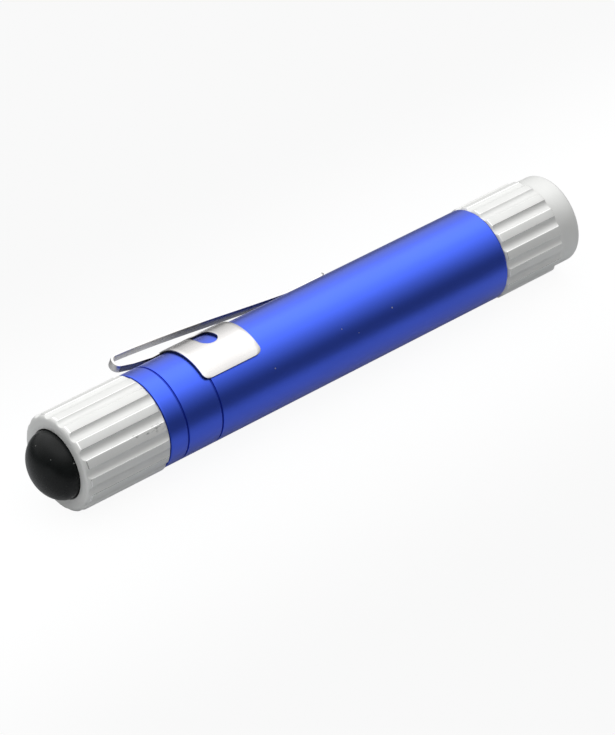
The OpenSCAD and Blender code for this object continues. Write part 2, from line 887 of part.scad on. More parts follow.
arm_path = concat(
    [for (i = [0 : arm_steps]) arm_point(i / arm_steps)],
    [
        for (i = [1 : heel_steps])
            let (a = heel_angle * (1 - i / heel_steps))
            [heel_low_x - heel_r * sin(a), heel_low_z + heel_r * (1 - cos(a)), -a]
    ],
    [
        for (i = [0 : tip_steps])
            let (a = tip_angle * i / tip_steps)
            [tip_start_x + tip_r * sin(a), heel_low_z + tip_r * (1 - cos(a)), a]
    ]
);
tip_end_x = tip_start_x + tip_r * sin(tip_angle) + tip_l * cos(tip_angle);
tip_end_z = heel_low_z + tip_r * (1 - cos(tip_angle)) + tip_l * sin(tip_angle);
arm_line = concat(arm_path, [[tip_end_x, tip_end_z, tip_angle]]);

module arm_plan() {
    wide_x = arm_start_x + arm_l * arm_wide_share;
    round_x = tip_end_x - tip_w / 2;
    polygon([
        [bend_centre_x - bend_r - over, bend_w / 2],
        [arm_start_x, bend_w / 2],
        [wide_x, arm_w / 2],
        [round_x, tip_w / 2],
        [round_x, -tip_w / 2],
        [wide_x, -arm_w / 2],
        [arm_start_x, -bend_w / 2],
        [bend_centre_x - bend_r - over, -bend_w / 2]
    ]);
    translate([round_x, 0]) circle(d = tip_w);
}

module clip_arm() {
    root = [
        bend_centre_x + bend_mid_r * cos(bend_end_angle + arm_root_angle),
        bend_centre_z + bend_mid_r * sin(bend_end_angle + arm_root_angle)
    ];
    lower = [for (p = arm_line) [p[0] + sin(p[2]) * clip_t / 2, p[1] - cos(p[2]) * clip_t / 2]];
    upper = [
        for (i = [len(arm_line) - 1 : -1 : 0])
            let (p = arm_line[i])
            [p[0] - sin(p[2]) * clip_t / 2, p[1] + cos(p[2]) * clip_t / 2]
    ];
    color([0.86, 0.85, 0.83]) at_clip() {
        translate([bend_centre_x, 0, bend_centre_z])
            rotate([90, 0, 0])
                rotate([0, 0, bend_end_angle])
                    rotate_extrude(angle = bend_start_angle - bend_end_angle)
                        translate([bend_r - clip_t, -bend_w / 2]) square([clip_t, bend_w]);
        intersection() {
            side_sheet() polygon(concat([root], lower, upper));
            linear_extrude(height = bend_centre_z + bend_r + over) arm_plan();
        }
    }
}

barrel();
tail_cap();
head_shell();
tail_o_ring();
head_o_ring();
button_boot();
switch_plunger();
contact_disc();
switch_spring();
switch_housing();
switch_board();
switch_ring();
tail_spring();
cell_can();
cell_washer();
cell_positive_nub();
cell_spring();
led_pill();
driver_board();
led_leads();
led_board();
led_package();
led_dome();
reflector();
lens();
lens_seal();
clip_saddle();
clip_arm();
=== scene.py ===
"""A penlight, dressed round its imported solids.

Lengths are in millimetres in the part's own frame unless a name says otherwise: X runs
along the light towards its beam, Z is up as the light lies on a table, and the origin is
the middle of the shoulder behind the nose ring. Angles round the light start at +Y and
grow towards +Z.
"""

import logging
import math
from dataclasses import dataclass, field, replace
from enum import Enum
from typing import Any, Optional, Sequence, Union

import bmesh
import bpy
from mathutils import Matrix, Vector


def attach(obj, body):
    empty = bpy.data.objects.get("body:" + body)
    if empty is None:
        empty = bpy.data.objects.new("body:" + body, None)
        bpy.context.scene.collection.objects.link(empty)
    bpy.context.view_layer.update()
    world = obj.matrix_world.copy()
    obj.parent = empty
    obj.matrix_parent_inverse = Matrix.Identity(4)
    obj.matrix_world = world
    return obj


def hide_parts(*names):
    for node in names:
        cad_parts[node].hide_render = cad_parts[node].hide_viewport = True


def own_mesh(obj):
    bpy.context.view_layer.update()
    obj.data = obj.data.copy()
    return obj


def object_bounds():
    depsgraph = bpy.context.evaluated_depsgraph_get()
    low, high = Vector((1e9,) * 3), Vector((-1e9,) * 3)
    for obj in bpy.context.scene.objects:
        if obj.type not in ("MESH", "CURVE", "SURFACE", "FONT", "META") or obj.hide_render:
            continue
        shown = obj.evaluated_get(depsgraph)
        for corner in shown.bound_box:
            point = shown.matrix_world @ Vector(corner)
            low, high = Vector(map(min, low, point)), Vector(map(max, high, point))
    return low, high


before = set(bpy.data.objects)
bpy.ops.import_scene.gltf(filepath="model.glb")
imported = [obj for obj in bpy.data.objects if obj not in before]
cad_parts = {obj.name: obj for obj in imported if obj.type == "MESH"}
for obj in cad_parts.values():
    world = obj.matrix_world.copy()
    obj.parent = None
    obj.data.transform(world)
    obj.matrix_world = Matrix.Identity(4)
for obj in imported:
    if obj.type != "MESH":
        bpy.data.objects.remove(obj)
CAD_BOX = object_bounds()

MM = 0.001
WELD = 0.0005
SLIVER = 0.0002
log = logging.getLogger("penlight")

Colour = tuple[float, float, float]
Point = tuple[float, float, float]
Outline = list[tuple[float, float]]
Ring = list[Point]


class Ends(Enum):
    """What closes the two ends of a skinned row of rings."""

    JOINED = "the last ring joins the first"
    CAPPED = "each end has a flat cap"
    POINTED = "each end closes on the axis"


class Grain(Enum):
    """Which way the fine lines of a worked metal run."""

    TURNED = "round the axis"
    DRAWN = "along the axis"
    GRIP = "along the flutes and round the ring and the rim"


# Shader tools


class Sock:
    """One value in a node tree, on which Python arithmetic adds Math nodes."""

    def __init__(self, graph: "Graph", socket: bpy.types.NodeSocket) -> None:
        """Keeps the socket and the graph that it belongs to."""
        self.graph = graph
        self.socket = socket

    def _math(self, operation: str, first: "Value", second: "Value") -> "Sock":
        """Adds one Math node on two values."""
        return self.graph.value(
            "ShaderNodeMath", {"operation": operation}, {0: first, 1: second}
        )

    def __add__(self, other: "Value") -> "Sock":
        """Sum of two values."""
        return self._math("ADD", self, other)

    def __radd__(self, other: "Value") -> "Sock":
        """Sum with a number on the left."""
        return self._math("ADD", other, self)

    def __sub__(self, other: "Value") -> "Sock":
        """Difference of two values."""
        return self._math("SUBTRACT", self, other)

    def __rsub__(self, other: "Value") -> "Sock":
        """Difference with a number on the left."""
        return self._math("SUBTRACT", other, self)

    def __mul__(self, other: "Value") -> "Sock":
        """Product of two values."""
        return self._math("MULTIPLY", self, other)

    def __rmul__(self, other: "Value") -> "Sock":
        """Product with a number on the left."""
        return self._math("MULTIPLY", other, self)

    def __truediv__(self, other: "Value") -> "Sock":
        """Quotient of two values."""
        return self._math("DIVIDE", self, other)

    def __rtruediv__(self, other: "Value") -> "Sock":
        """Quotient with a number on the left."""
        return self._math("DIVIDE", other, self)

    def __pow__(self, other: "Value") -> "Sock":
        """Power of a value."""
        return self._math("POWER", self, other)

    def __rpow__(self, other: "Value") -> "Sock":
        """Power with a number on the left."""
        return self._math("POWER", other, self)


Value = Union[Sock, float]


class Graph:
    """A node tree that is being filled."""

    def __init__(self, tree: bpy.types.NodeTree) -> None:
        """Empties the tree."""
        self.tree = tree
        tree.nodes.clear()

    def node(
        self,
        kind: str,
        settings: Optional[dict[str, Any]] = None,
        inputs: Optional[dict[Union[str, int], Any]] = None,
    ) -> bpy.types.Node:
        """Adds any node.

        Args:
            kind: The node's Blender type.
            settings: Its properties, set first.
            inputs: Its sockets' values or links, by number, identifier or name.

        Returns:
            The node.
        """
        made = self.tree.nodes.new(kind)
        for name, setting in (settings or {}).items():
            setattr(made, name, setting)
        for key, given in (inputs or {}).items():
            socket = self._input(made, key)
            if isinstance(given, Sock):
                self.tree.links.new(given.socket, socket)
            elif isinstance(given, tuple) and socket.type == "RGBA":
                socket.default_value = (*given[:3], 1.0)
            else:
                socket.default_value = given
        return made

    @staticmethod
    def _input(made: bpy.types.Node, key: Union[str, int]) -> bpy.types.NodeSocket:
        """Finds a node's input.

        Args:
            made: The node.
            key: The input's number, identifier or name.

        Returns:
            The input.
        """
        if isinstance(key, int):
            return made.inputs[key]
        for socket in made.inputs:
            if socket.identifier == key:
                return socket
        return made.inputs[key]

    def value(
        self,
        kind: str,
        settings: Optional[dict[str, Any]] = None,
        inputs: Optional[dict[Union[str, int], Any]] = None,
        output: Union[str, int] = 0,
    ) -> Sock:
        """Adds any node and gives one of its outputs.

        Args:
            kind: The node's Blender type.
            settings: Its properties.
            inputs: Its sockets' values or links.
            output: The output's number or name.

        Returns:
            The output, wrapped.
        """
        return Sock(self, self.node(kind, settings, inputs).outputs[output])

    def place(self) -> Sock:
        """Place on the piece in millimetres."""
        return self.stretched(
            self.value("ShaderNodeTexCoord", output="Object"), (1 / MM,) * 3
        )

    def stretched(self, vector: Sock, by: Point) -> Sock:
        """Vector with each of its parts scaled."""
        return self.value(
            "ShaderNodeVectorMath", {"operation": "MULTIPLY"}, {0: vector, 1: by}
        )

    def split(self, vector: Sock) -> tuple[Sock, Sock, Sock]:
        """The three parts of a vector."""
        x, y, z = self.node("ShaderNodeSeparateXYZ", inputs={0: vector}).outputs
        return Sock(self, x), Sock(self, y), Sock(self, z)

    def joined(self, x: Value, y: Value, z: Value) -> Sock:
        """Vector from three values."""
        return self.value("ShaderNodeCombineXYZ", inputs={0: x, 1: y, 2: z})

    def noise(self, vector: Sock, scale: float, detail: float = 2.0) -> Sock:
        """Soft noise from 0 to 1 with the given number of lumps per millimetre."""
        return self.value(
            "ShaderNodeTexNoise",
            {"noise_dimensions": "3D"},
            {"Vector": vector, "Scale": scale, "Detail": detail},
        )

    def specks(self, vector: Sock, scale: float, size: float, share: float) -> Sock:
        """Mask of scattered round specks.

        Args:
            vector: Place to look up.
            scale: Cells per millimetre.
            size: Radius of a speck as a share of a cell.
            share: Share of the cells that hold one.

        Returns:
            1 in a speck and 0 outside.
        """
        cell = self.node("ShaderNodeTexVoronoi", inputs={"Vector": vector, "Scale": scale})
        near = 1 - self.step(Sock(self, cell.outputs["Distance"]), size * 0.5, size)
        pick = self.split(Sock(self, cell.outputs["Color"]))[0]
        return near * self.step(pick, 1 - share, 1.001 - share)

    def step(self, value: Value, low: float, high: float) -> Sock:
        """Smooth rise from 0 at low to 1 at high."""
        return self.value(
            "ShaderNodeMapRange",
            {"interpolation_type": "SMOOTHSTEP"},
            {"Value": value, "From Min": low, "From Max": high},
        )

    def tint(self, mask: Value, first: Any, second: Any) -> Sock:
        """Colour that goes from the first to the second as the mask rises."""
        return self.value(
            "ShaderNodeMix",
            {"data_type": "RGBA"},
            {"Factor_Float": mask, "A_Color": first, "B_Color": second},
            output=2,
        )

    def spot(self, vector: Sock, centre: Point, radius: float, edge: float) -> Sock:
        """Mask of one round spot, with the given radius and softness."""
        gap = self.value(
            "ShaderNodeVectorMath",
            {"operation": "DISTANCE"},
            {0: vector, 1: centre},
            output="Value",
        )
        return 1 - self.step(gap, radius - edge, radius + edge)

    def spots(self, at: Sock, radius: float, marks: Sequence[Point], softness: float) -> Sock:
        """Mask of round spots on a cylinder round the light's axis.

        Args:
            at: Place to look up.
            radius: The cylinder's radius.
            marks: The spots, each by its place along the light, its angle and its radius.
            softness: Softness of a spot's edge as a share of its radius.

        Returns:
            1 in a spot and 0 outside.
        """
        return sum(
            (
                self.spot(at, around(x, radius, angle), size, size * softness)
                for x, angle, size in marks
            ),
            start=0.0,
        )

    def bump(self, height: Value, depth: float) -> Sock:
        """Normal of a relief of the given depth in millimetres."""
        return self.value(
            "ShaderNodeBump", inputs={"Height": height, "Distance": depth * MM}
        )

    def surface(self, sockets: dict[str, Any]) -> None:
        """Ends the tree in the plain surface shader with these sockets."""
        shader = self.value("ShaderNodeBsdfPrincipled", inputs=sockets)
        self.node("ShaderNodeOutputMaterial", inputs={"Surface": shader})


def lean(colour: Colour, by: float) -> Colour:
    """Colour made lighter or darker by a factor."""
    red, green, blue = (min(part * by, 1.0) for part in colour)
    return red, green, blue


def off_axis(y: Sock, z: Sock) -> Sock:
    """Distance from the light's axis."""
    return (y * y + z * z) ** 0.5


def around(x: float, radius: float, angle: float) -> Point:
    """Point at a place along the light, a distance from its axis and an angle in degrees."""
    a = math.radians(angle)
    return x, radius * math.cos(a), radius * math.sin(a)


# Finishes


@dataclass(frozen=True)
class Finish:
    """What every finish shares: a name, a colour and a roughness."""

    name: str
    colour: Colour
    roughness: float = 0.4

    def material(self) -> bpy.types.Material:
        """Makes the finish's material.

        Returns:
            The material, made once and then found again by its name.
        """
        found = bpy.data.materials.get(self.name)
        if found is None:
            found = bpy.data.materials.new(self.name)
            found.use_nodes = True
            self.shade(Graph(found.node_tree))
            found.diffuse_color = (*self.colour, 1.0)
        return found

    def shade(self, graph: Graph) -> None:
        """Fills the material's nodes."""
        raise NotImplementedError(self.name)


@dataclass(frozen=True)
class SlotLook:
    """The plain look that model.glb already brings for one of the record's slots."""

    name: str

    def material(self) -> bpy.types.Material:
        """The imported material of that name."""
        return bpy.data.materials[self.name]


Look = Union[Finish, SlotLook]


@dataclass(frozen=True)
class AnodisedTube(Finish):
    """Blue dyed anodising over a fine matt blast, with a few tiny chips and painted shade in its
    turned lines.
    """

    groove_shade: Colour = (0.014, 0.040, 0.40)
    bare: Colour = (0.80, 0.82, 0.86)
    line_floor: float = 6.86
    chip_r: float = 7.0
    chip_softness: float = 0.4
    chips: tuple[Point, ...] = (
        (-32.0, 148.2, 0.10),
        (-41.1, 144.2, 0.07),
        (-38.6, 157.2, 0.06),
        (-53.5, 150.2, 0.09),
        (-24.5, 62.0, 0.08),
        (-46.0, 231.0, 0.09),
        (-17.2, 305.0, 0.07),
    )

    def shade(self, graph: Graph) -> None:
        """Fills the material's nodes.

        Args:
            graph: The material's node tree.
        """
        at = graph.place()
        _, y, z = graph.split(at)
        radius = off_axis(y, z)
        blast = graph.noise(at, 5.5, 3.0)
        cloud = graph.noise(graph.stretched(at, (0.06, 0.25, 0.25)), 1.0, 2.0)
        groove = 1 - graph.step(radius, self.line_floor, self.line_floor + 0.1)
        colour = graph.tint(graph.step(cloud, 0.3, 0.7), self.colour, lean(self.colour, 0.94))
        colour = graph.tint(graph.step(blast, 0.45, 0.75) * 0.12, colour, lean(self.colour, 1.25))
        # Painted shade: the floors of the turned lines are tinted towards a darker blue, standing
        # in for the shade in the grooves.
        colour = graph.tint(groove * 0.8, colour, self.groove_shade)
        chipped = graph.spots(at, self.chip_r, self.chips, self.chip_softness)
        graph.surface(
            {
                "Base Color": graph.tint(chipped, colour, self.bare),
                "Metallic": 1.0,
                "Roughness": self.roughness + (blast - 0.5) * 0.10 + groove * 0.15,
                "Coat Weight": 0.7 - groove * 0.5,
                "Coat Roughness": 0.32,
                "Coat IOR": 1.45,
                "Normal": graph.bump(blast, 0.004),
            }
        )


@dataclass(frozen=True)
class WorkedMetal(Finish):
    """Metal with the fine lines of its tool, soft cloudy wear, and optional painted shade and
    highlights.
    """

    grain: Grain = Grain.TURNED
    line_depth: float = 0.004
    contrast: float = 0.06
    lines: float = 7.0
    soil: Colour = (0.16, 0.165, 0.16)
    smudges: tuple[Point, ...] = ()
    smudge_r: float = 7.1
    smudge_softness: float = 0.8
    metallic: float = 1.0
    underside_shade: Colour = (0.21, 0.21, 0.22)
    underside_shade_from: Optional[float] = None
    underside_shade_run: float = 4.0
    lip_r: Optional[float] = None
    lip_rise: tuple[float, float] = (-0.03, -0.01)
    lip_fall: tuple[float, float] = (0.01, 0.026)
    bright: Colour = (0.95, 0.95, 0.94)
    edge_shade_r: Optional[float] = None
    edge_shade_run: float = 0.04
    edge_shade: Colour = (0.035, 0.035, 0.04)
    ring_x: tuple[float, float] = (-0.12, -0.02)
    rim_x: tuple[float, float] = (-86.3, -86.0)
    rim_r: tuple[float, float] = (6.5, 6.8)

    def shade(self, graph: Graph) -> None:
        """Fills the material's nodes.

        Args:
            graph: The material's node tree.
        """
        at = graph.place()
        x, y, z = graph.split(at)
        radius = off_axis(y, z)
        line = self._lines(graph, at, x, radius)
        cloud = graph.noise(at, 0.35, 3.0)
        fine = graph.noise(at, 9.0, 2.0)
        colour = graph.tint(
            line, lean(self.colour, 1 - self.contrast), lean(self.colour, 1 + self.contrast * 0.5)
        )
        colour = graph.tint(graph.step(cloud, 0.35, 0.75) * 0.5, colour, lean(self.colour, 0.93))
        # Painted shade: past a place along the light, faces that look in towards the axis are
        # tinted dark grey, a painted shadow and painted dark reflection under the clip.
        if self.underside_shade_from is not None:
            inner = self._inward(graph, y, z, radius)
            past = graph.step(x, self.underside_shade_from - self.underside_shade_run, self.underside_shade_from + self.underside_shade_run)
            colour = graph.tint(inner * past, colour, self.underside_shade)
        if self.smudges:
            colour = graph.tint(self._soiled(graph, at), colour, self.soil)
        # Painted shadow: where the sheet lies closer to the axis than this radius, along its edges
        # next to the barrel, it is tinted near black, standing in for the shadow line under the
        # saddle's edge.
        if self.edge_shade_r is not None:
            low, high = self.edge_shade_r - self.edge_shade_run, self.edge_shade_r + self.edge_shade_run
            cut = 1 - graph.step(radius, low, high)
            colour = graph.tint(cut, colour, self.edge_shade)
        lip: Value = 0.0
        # Bright lips at the flutes' edges: partly real wear and partly a painted highlight, tinted
        # pale on every lip whichever way it faces.
        if self.lip_r is not None:
            low, high = (self.lip_r + off for off in self.lip_fall)
            outer = 1 - graph.step(radius, low, high)
            low, high = (self.lip_r + off for off in self.lip_rise)
            lip = graph.step(radius, low, high) * outer
            colour = graph.tint(lip, colour, self.bright)
        metallic = self.metallic + lip * (1 - self.metallic)
        roughness = self.roughness + (fine - 0.5) * 0.08 + (cloud - 0.5) * 0.10 - lip * 0.2
        graph.surface(
            {
                "Base Color": colour,
                "Metallic": metallic,
                "Roughness": roughness,
                "Normal": graph.bump(line * 0.7 + fine * 0.3, self.line_depth),
            }
        )

    def _lines(self, graph: Graph, at: Sock, x: Sock, radius: Sock) -> Sock:
        """Fine tool lines that run as the grain says.

        Args:
            graph: The material's node tree.
            at: Place on the piece.
            x: Its place along the light.
            radius: Its distance from the axis.

        Returns:
            Height of the lines, from 0 to 1.
        """
        turned = graph.noise(graph.joined(x, radius, 0.0), self.lines, 3.0)
        if self.grain is Grain.TURNED:
            return turned
        drawn = graph.noise(graph.stretched(at, (0.02, 1.0, 1.0)), self.lines, 3.0)
        if self.grain is Grain.DRAWN:
            return drawn
        ring = graph.step(x, *self.ring_x)
        rim = (1 - graph.step(x, *self.rim_x)) * (1 - graph.step(radius, *self.rim_r))
        plain = ring + rim
        return turned * plain + drawn * (1 - plain)

    def _inward(self, graph: Graph, y: Sock, z: Sock, radius: Sock) -> Sock:
        """Mask of the faces that look in towards the axis."""
        _, across, up = graph.split(graph.value("ShaderNodeTexCoord", output="Normal"))
        return graph.step((across * y + up * z) / radius, -0.3, -0.7)

    def _soiled(self, graph: Graph, at: Sock) -> Sock:
        """Broken dark smudges at the places that the finish names.

        Args:
            graph: The material's node tree.
            at: Place on the piece.

        Returns:
            0 on clean metal and more in a smudge.
        """
        breakup = graph.noise(graph.stretched(at, (0.8, 2.0, 2.0)), 1.5, 3.0)
        near = graph.spots(at, self.smudge_r, self.smudges, self.smudge_softness)
        return near * graph.step(breakup, 0.50, 0.60) * 0.7


@dataclass(frozen=True)
class MouldedRubber(Finish):
    """Black moulded rubber with a faint bloom and grains of dust."""

    bloom: Colour = (0.010, 0.012, 0.012)
    dust: Colour = (0.55, 0.56, 0.54)
    dusty: float = 0.08

    def shade(self, graph: Graph) -> None:
        """Fills the material's nodes.

        Args:
            graph: The material's node tree.
        """
        at = graph.place()
        fine = graph.noise(at, 7.0, 3.0)
        cloud = graph.noise(at, 0.6, 3.0)
        colour = graph.tint(graph.step(cloud, 0.35, 0.8) * 0.35, self.colour, self.bloom)
        grains = graph.specks(at, 1.3, 0.17, self.dusty)
        graph.surface(
            {
                "Base Color": graph.tint(grains * 0.35, colour, self.dust),
                "Roughness": self.roughness + (cloud - 0.5) * 0.16,
                "Specular IOR Level": 0.22,
                "Normal": graph.bump(fine, 0.006),
            }
        )


@dataclass(frozen=True)
class MouldedPlastic(Finish):
    """Moulded plastic with a slight texture of the tool and flow marks."""

    def shade(self, graph: Graph) -> None:
        """Fills the material's nodes.

        Args:
            graph: The material's node tree.
        """
        at = graph.place()
        fine = graph.noise(at, 8.0, 2.0)
        flow = graph.noise(graph.stretched(at, (0.3, 1.0, 1.0)), 0.8, 2.0)
        colour = graph.tint(graph.step(flow, 0.3, 0.7), self.colour, lean(self.colour, 0.85))
        graph.surface(
            {
                "Base Color": colour,
                "Roughness": self.roughness + (fine - 0.5) * 0.15,
                "Normal": graph.bump(fine, 0.005),
            }
        )


@dataclass(frozen=True)
class CircuitBoard(Finish):
    """Board with solder mask, and with a ring of bare pads round its middle."""

    pad: Colour = (0.85, 0.78, 0.55)
    pad_ring: tuple[float, float] = (1.0, 1.7)
    pad_edge: float = 0.03

    def shade(self, graph: Graph) -> None:
        """Fills the material's nodes.

        Args:
            graph: The material's node tree.
        """
        at = graph.place()
        _, y, z = graph.split(at)
        radius = off_axis(y, z)
        inner, outer = self.pad_ring
        pads = graph.step(radius, inner - self.pad_edge, inner)
        pads = pads * (1 - graph.step(radius, outer, outer + self.pad_edge))
        weave = graph.noise(graph.stretched(at, (1.0, 6.0, 1.0)), 3.0, 1.0)
        colour = graph.tint(graph.step(weave, 0.4, 0.6) * 0.4, self.colour, lean(self.colour, 0.8))
        graph.surface(
            {
                "Base Color": graph.tint(pads, colour, self.pad),
                "Metallic": pads,
                "Roughness": self.roughness + (weave - 0.5) * 0.1,
            }
        )


@dataclass(frozen=True)
class PhosphorChip(Finish):
    """White ceramic package with a round field of yellow phosphor."""

    phosphor: Colour = (0.90, 0.74, 0.10)
    field_r: float = 1.35
    field_edge: float = 0.04

    def shade(self, graph: Graph) -> None:
        """Fills the material's nodes.

        Args:
            graph: The material's node tree.
        """
        at = graph.place()
        _, y, z = graph.split(at)
        low, high = self.field_r - self.field_edge, self.field_r + self.field_edge
        lit = 1 - graph.step(off_axis(y, z), low, high)
        grain = graph.noise(at, 12.0, 2.0)
        powder = graph.tint(grain, self.phosphor, lean(self.phosphor, 0.85))
        graph.surface(
            {
                "Base Color": graph.tint(lit, self.colour, powder),
                "Roughness": self.roughness + lit * 0.3,
                "Normal": graph.bump(grain, 0.004),
            }
        )


@dataclass(frozen=True)
class ClearMoulding(Finish):
    """Clear silicone with the faintest haze."""

    ior: float = 1.41

    def shade(self, graph: Graph) -> None:
        """Fills the material's nodes."""
        haze = graph.noise(graph.place(), 0.8, 3.0)
        graph.surface(
            {
                "Base Color": self.colour,
                "Roughness": self.roughness + graph.step(haze, 0.5, 0.8) * 0.04,
                "IOR": self.ior,
                "Transmission Weight": 1.0,
            }
        )


BLUE_TUBE = AnodisedTube("blue_anodised_tube", (0.046, 0.121, 0.86), 0.32)
GRIP_METAL = WorkedMetal(
    "satin_grip_metal",
    (0.80, 0.805, 0.79),
    0.44,
    grain=Grain.GRIP,
    smudges=(
        (-73.6, 148.0, 0.55),
        (-74.8, 149.5, 0.5),
        (-76.2, 150.5, 0.35),
        (-77.9, 147.0, 0.35),
        (-81.0, 190.0, 0.16),
    ),
    metallic=0.25,
    lip_r=7.12,
)
SADDLE_STEEL = WorkedMetal(
    "saddle_steel",
    (0.75, 0.735, 0.725),
    0.27,
    grain=Grain.DRAWN,
    lines=5.0,
    contrast=0.08,
    underside_shade_from=-80.0,
    edge_shade_r=7.32,
)
ARM_STEEL = replace(SADDLE_STEEL, name="arm_steel", underside_shade_from=-61.0, edge_shade_r=None)
BOOT_RUBBER = MouldedRubber("boot_rubber", (0.0025, 0.0035, 0.0035), 0.28)
SEAL_RUBBER = SlotLook("seal_rubber")
HOUSING_PLASTIC = MouldedPlastic("housing_acetal", (0.022, 0.022, 0.025), 0.45)
PLUNGER_PLASTIC = MouldedPlastic("plunger_acetal", (0.82, 0.79, 0.70), 0.42)
LEAD_SLEEVE = SlotLook("lead_insulation")
WASHER_FIBRE = MouldedPlastic("washer_fibre", (0.80, 0.75, 0.62), 0.75)
CONTACT_BRASS = SlotLook("contact_brass")
PILL_BRASS = WorkedMetal("turned_brass", (0.78, 0.60, 0.29), 0.32, lines=5.0, line_depth=0.008)
SPRING_WIRE = WorkedMetal("spring_wire", (0.70, 0.70, 0.69), 0.25, lines=12.0)
NUB_PLATING = WorkedMetal("nub_plating", (0.78, 0.76, 0.72), 0.22, lines=8.0)
BOWL_METAL = WorkedMetal(
    "bright_bowl_metal", (0.92, 0.92, 0.93), 0.07, lines=3.0, line_depth=0.001, contrast=0.02
)
BOARD_GREEN = CircuitBoard("green_board", (0.02, 0.16, 0.06), 0.35)
BOARD_WHITE = CircuitBoard("white_board", (0.84, 0.85, 0.83), 0.40, pad_ring=(2.75, 3.4))
CELL_WRAP = SlotLook("cell_sleeve")
LED_CHIP = PhosphorChip("led_chip", (0.85, 0.85, 0.82), 0.45)
LED_GEL = ClearMoulding("led_gel", (0.98, 0.98, 0.93), 0.03)
LENS_CLEAR = SlotLook("lens_clear")


# Mesh tools


def mesh_object(
    name: str, points: Sequence[Point], faces: Sequence[Sequence[int]], sharp: float = 30.0
) -> bpy.types.Object:
    """Makes a smooth object from points and faces.

    Args:
        name: Name of the object and of its mesh.
        points: Points in millimetres.
        faces: Faces by their points' numbers.
        sharp: Fold in degrees past which an edge shades as a crease.

    Returns:
        The object, linked to the scene.
    """
    mesh = bpy.data.meshes.new(name)
    mesh.from_pydata([tuple(part * MM for part in p) for p in points], [], faces)
    work = bmesh.new()
    work.from_mesh(mesh)
    bmesh.ops.remove_doubles(work, verts=work.verts, dist=WELD * MM)
    bmesh.ops.dissolve_degenerate(work, edges=work.edges, dist=SLIVER * MM)
    bmesh.ops.recalc_face_normals(work, faces=work.faces)
    work.to_mesh(mesh)
    work.free()
    mesh.polygons.foreach_set("use_smooth", [True] * len(mesh.polygons))
    mesh.set_sharp_from_angle(angle=math.radians(sharp))
    made = bpy.data.objects.new(name, mesh)
    bpy.context.scene.collection.objects.link(made)
    return made


def quads(rows: int, size: int, round_rows: bool, looped: bool = False) -> list[tuple[int, ...]]:
    """Faces between neighbouring rows of points.

    Args:
        rows: Number of rows.
        size: Number of points in a row.
        round_rows: Whether each row's last point joins its first.
        looped: Whether the last row joins the first.

    Returns:
        The faces by their points' numbers.
    """
    faces: list[tuple[int, ...]] = []
    for i in range(rows if looped else rows - 1):
        a, b = i * size, (i + 1) % rows * size
        for j in range(size if round_rows else size - 1):
            k = (j + 1) % size
            faces.append((a + j, a + k, b + k, b + j))
    return faces


def skin(name: str, rings: Sequence[Ring], ends: Ends, sharp: float = 30.0) -> bpy.types.Object:
    """Skins a row of closed rings.

    Args:
        name: Name of the object.
        rings: Rings with the same number of points.
        ends: What closes the row.
        sharp: Fold in degrees past which an edge shades as a crease.

    Returns:
        The object.
    """
    size, count = len(rings[0]), len(rings)
    faces = quads(count, size, True, ends is Ends.JOINED)
    if ends is Ends.CAPPED:
        faces.append(tuple(range(size)))
        faces.append(tuple((count - 1) * size + j for j in range(size)))
    return mesh_object(name, [p for ring in rings for p in ring], faces, sharp)


def lathe(name: str, outline: Outline, ends: Ends, steps: int = 160) -> bpy.types.Object:
    """Turns an outline of places and radii round the light's axis.

    Args:
        name: Name of the object.
        outline: Places along the axis with their radii.
        ends: JOINED for a closed outline, POINTED for one that starts and ends on the axis.
        steps: Steps round the axis.

    Returns:
        The object.
    """
    rings = [[around(x, r, 360 * j / steps) for j in range(steps)] for x, r in outline]
    return skin(name, rings, ends)


def arc(x: float, r: float, radius: float, start: float, end: float, steps: int = 6) -> Outline:
    """Points of an arc in an outline about a centre, between two angles in degrees."""
    angles = [math.radians(start + (end - start) * i / steps) for i in range(steps + 1)]
    return [(x + radius * math.cos(a), r + radius * math.sin(a)) for a in angles]


def applied(piece: bpy.types.Object) -> bpy.types.Object:
    """Applies a piece's modifiers.

    Args:
        piece: The object.

    Returns:
        The same object with its final mesh.
    """
    seen = piece.evaluated_get(bpy.context.evaluated_depsgraph_get())
    final = bpy.data.meshes.new_from_object(seen)
    final.name = piece.name
    piece.modifiers.clear()
    piece.data = final
    return piece


def smooth(share: float) -> float:
    """Smooth rise from 0 to 1 over a share that is held between them."""
    t = min(max(share, 0.0), 1.0)
    return t * t * (3 - 2 * t)


def blend(first: float, second: float, share: float) -> float:
    """Value at a share of the way between two values."""
    return first + (second - first) * share


def fit(piece: bpy.types.Object, node: str, body: str, finish: Look) -> None:
    """Dresses a piece, sets it on its body and lets it stand for its solid.

    Args:
        piece: The piece.
        node: The solid that it stands for.
        body: The body that it rides on.
        finish: Its finish.
    """
    piece.data.materials.clear()
    piece.data.materials.append(finish.material())
    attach(piece, body)
    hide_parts(node)
    log.info("%s: %d points, on %s", piece.name, len(piece.data.vertices), body)


# Sub-assemblies


@dataclass(frozen=True)
class Places:
    """Places along the light, and radii, that several pieces share."""

    nose: float = 3.9
    grip_front: float = -10.7
    junction: float = -72.6
    tail: float = -86.8
    seam: float = 0.1
    barrel_r: float = 7.0
    land_r: float = 7.15
    bore_r: float = 5.4
    spigot_r: float = 6.25
    spigot_l: float = 4.4
    thread_r: float = 6.3


AT = Places()


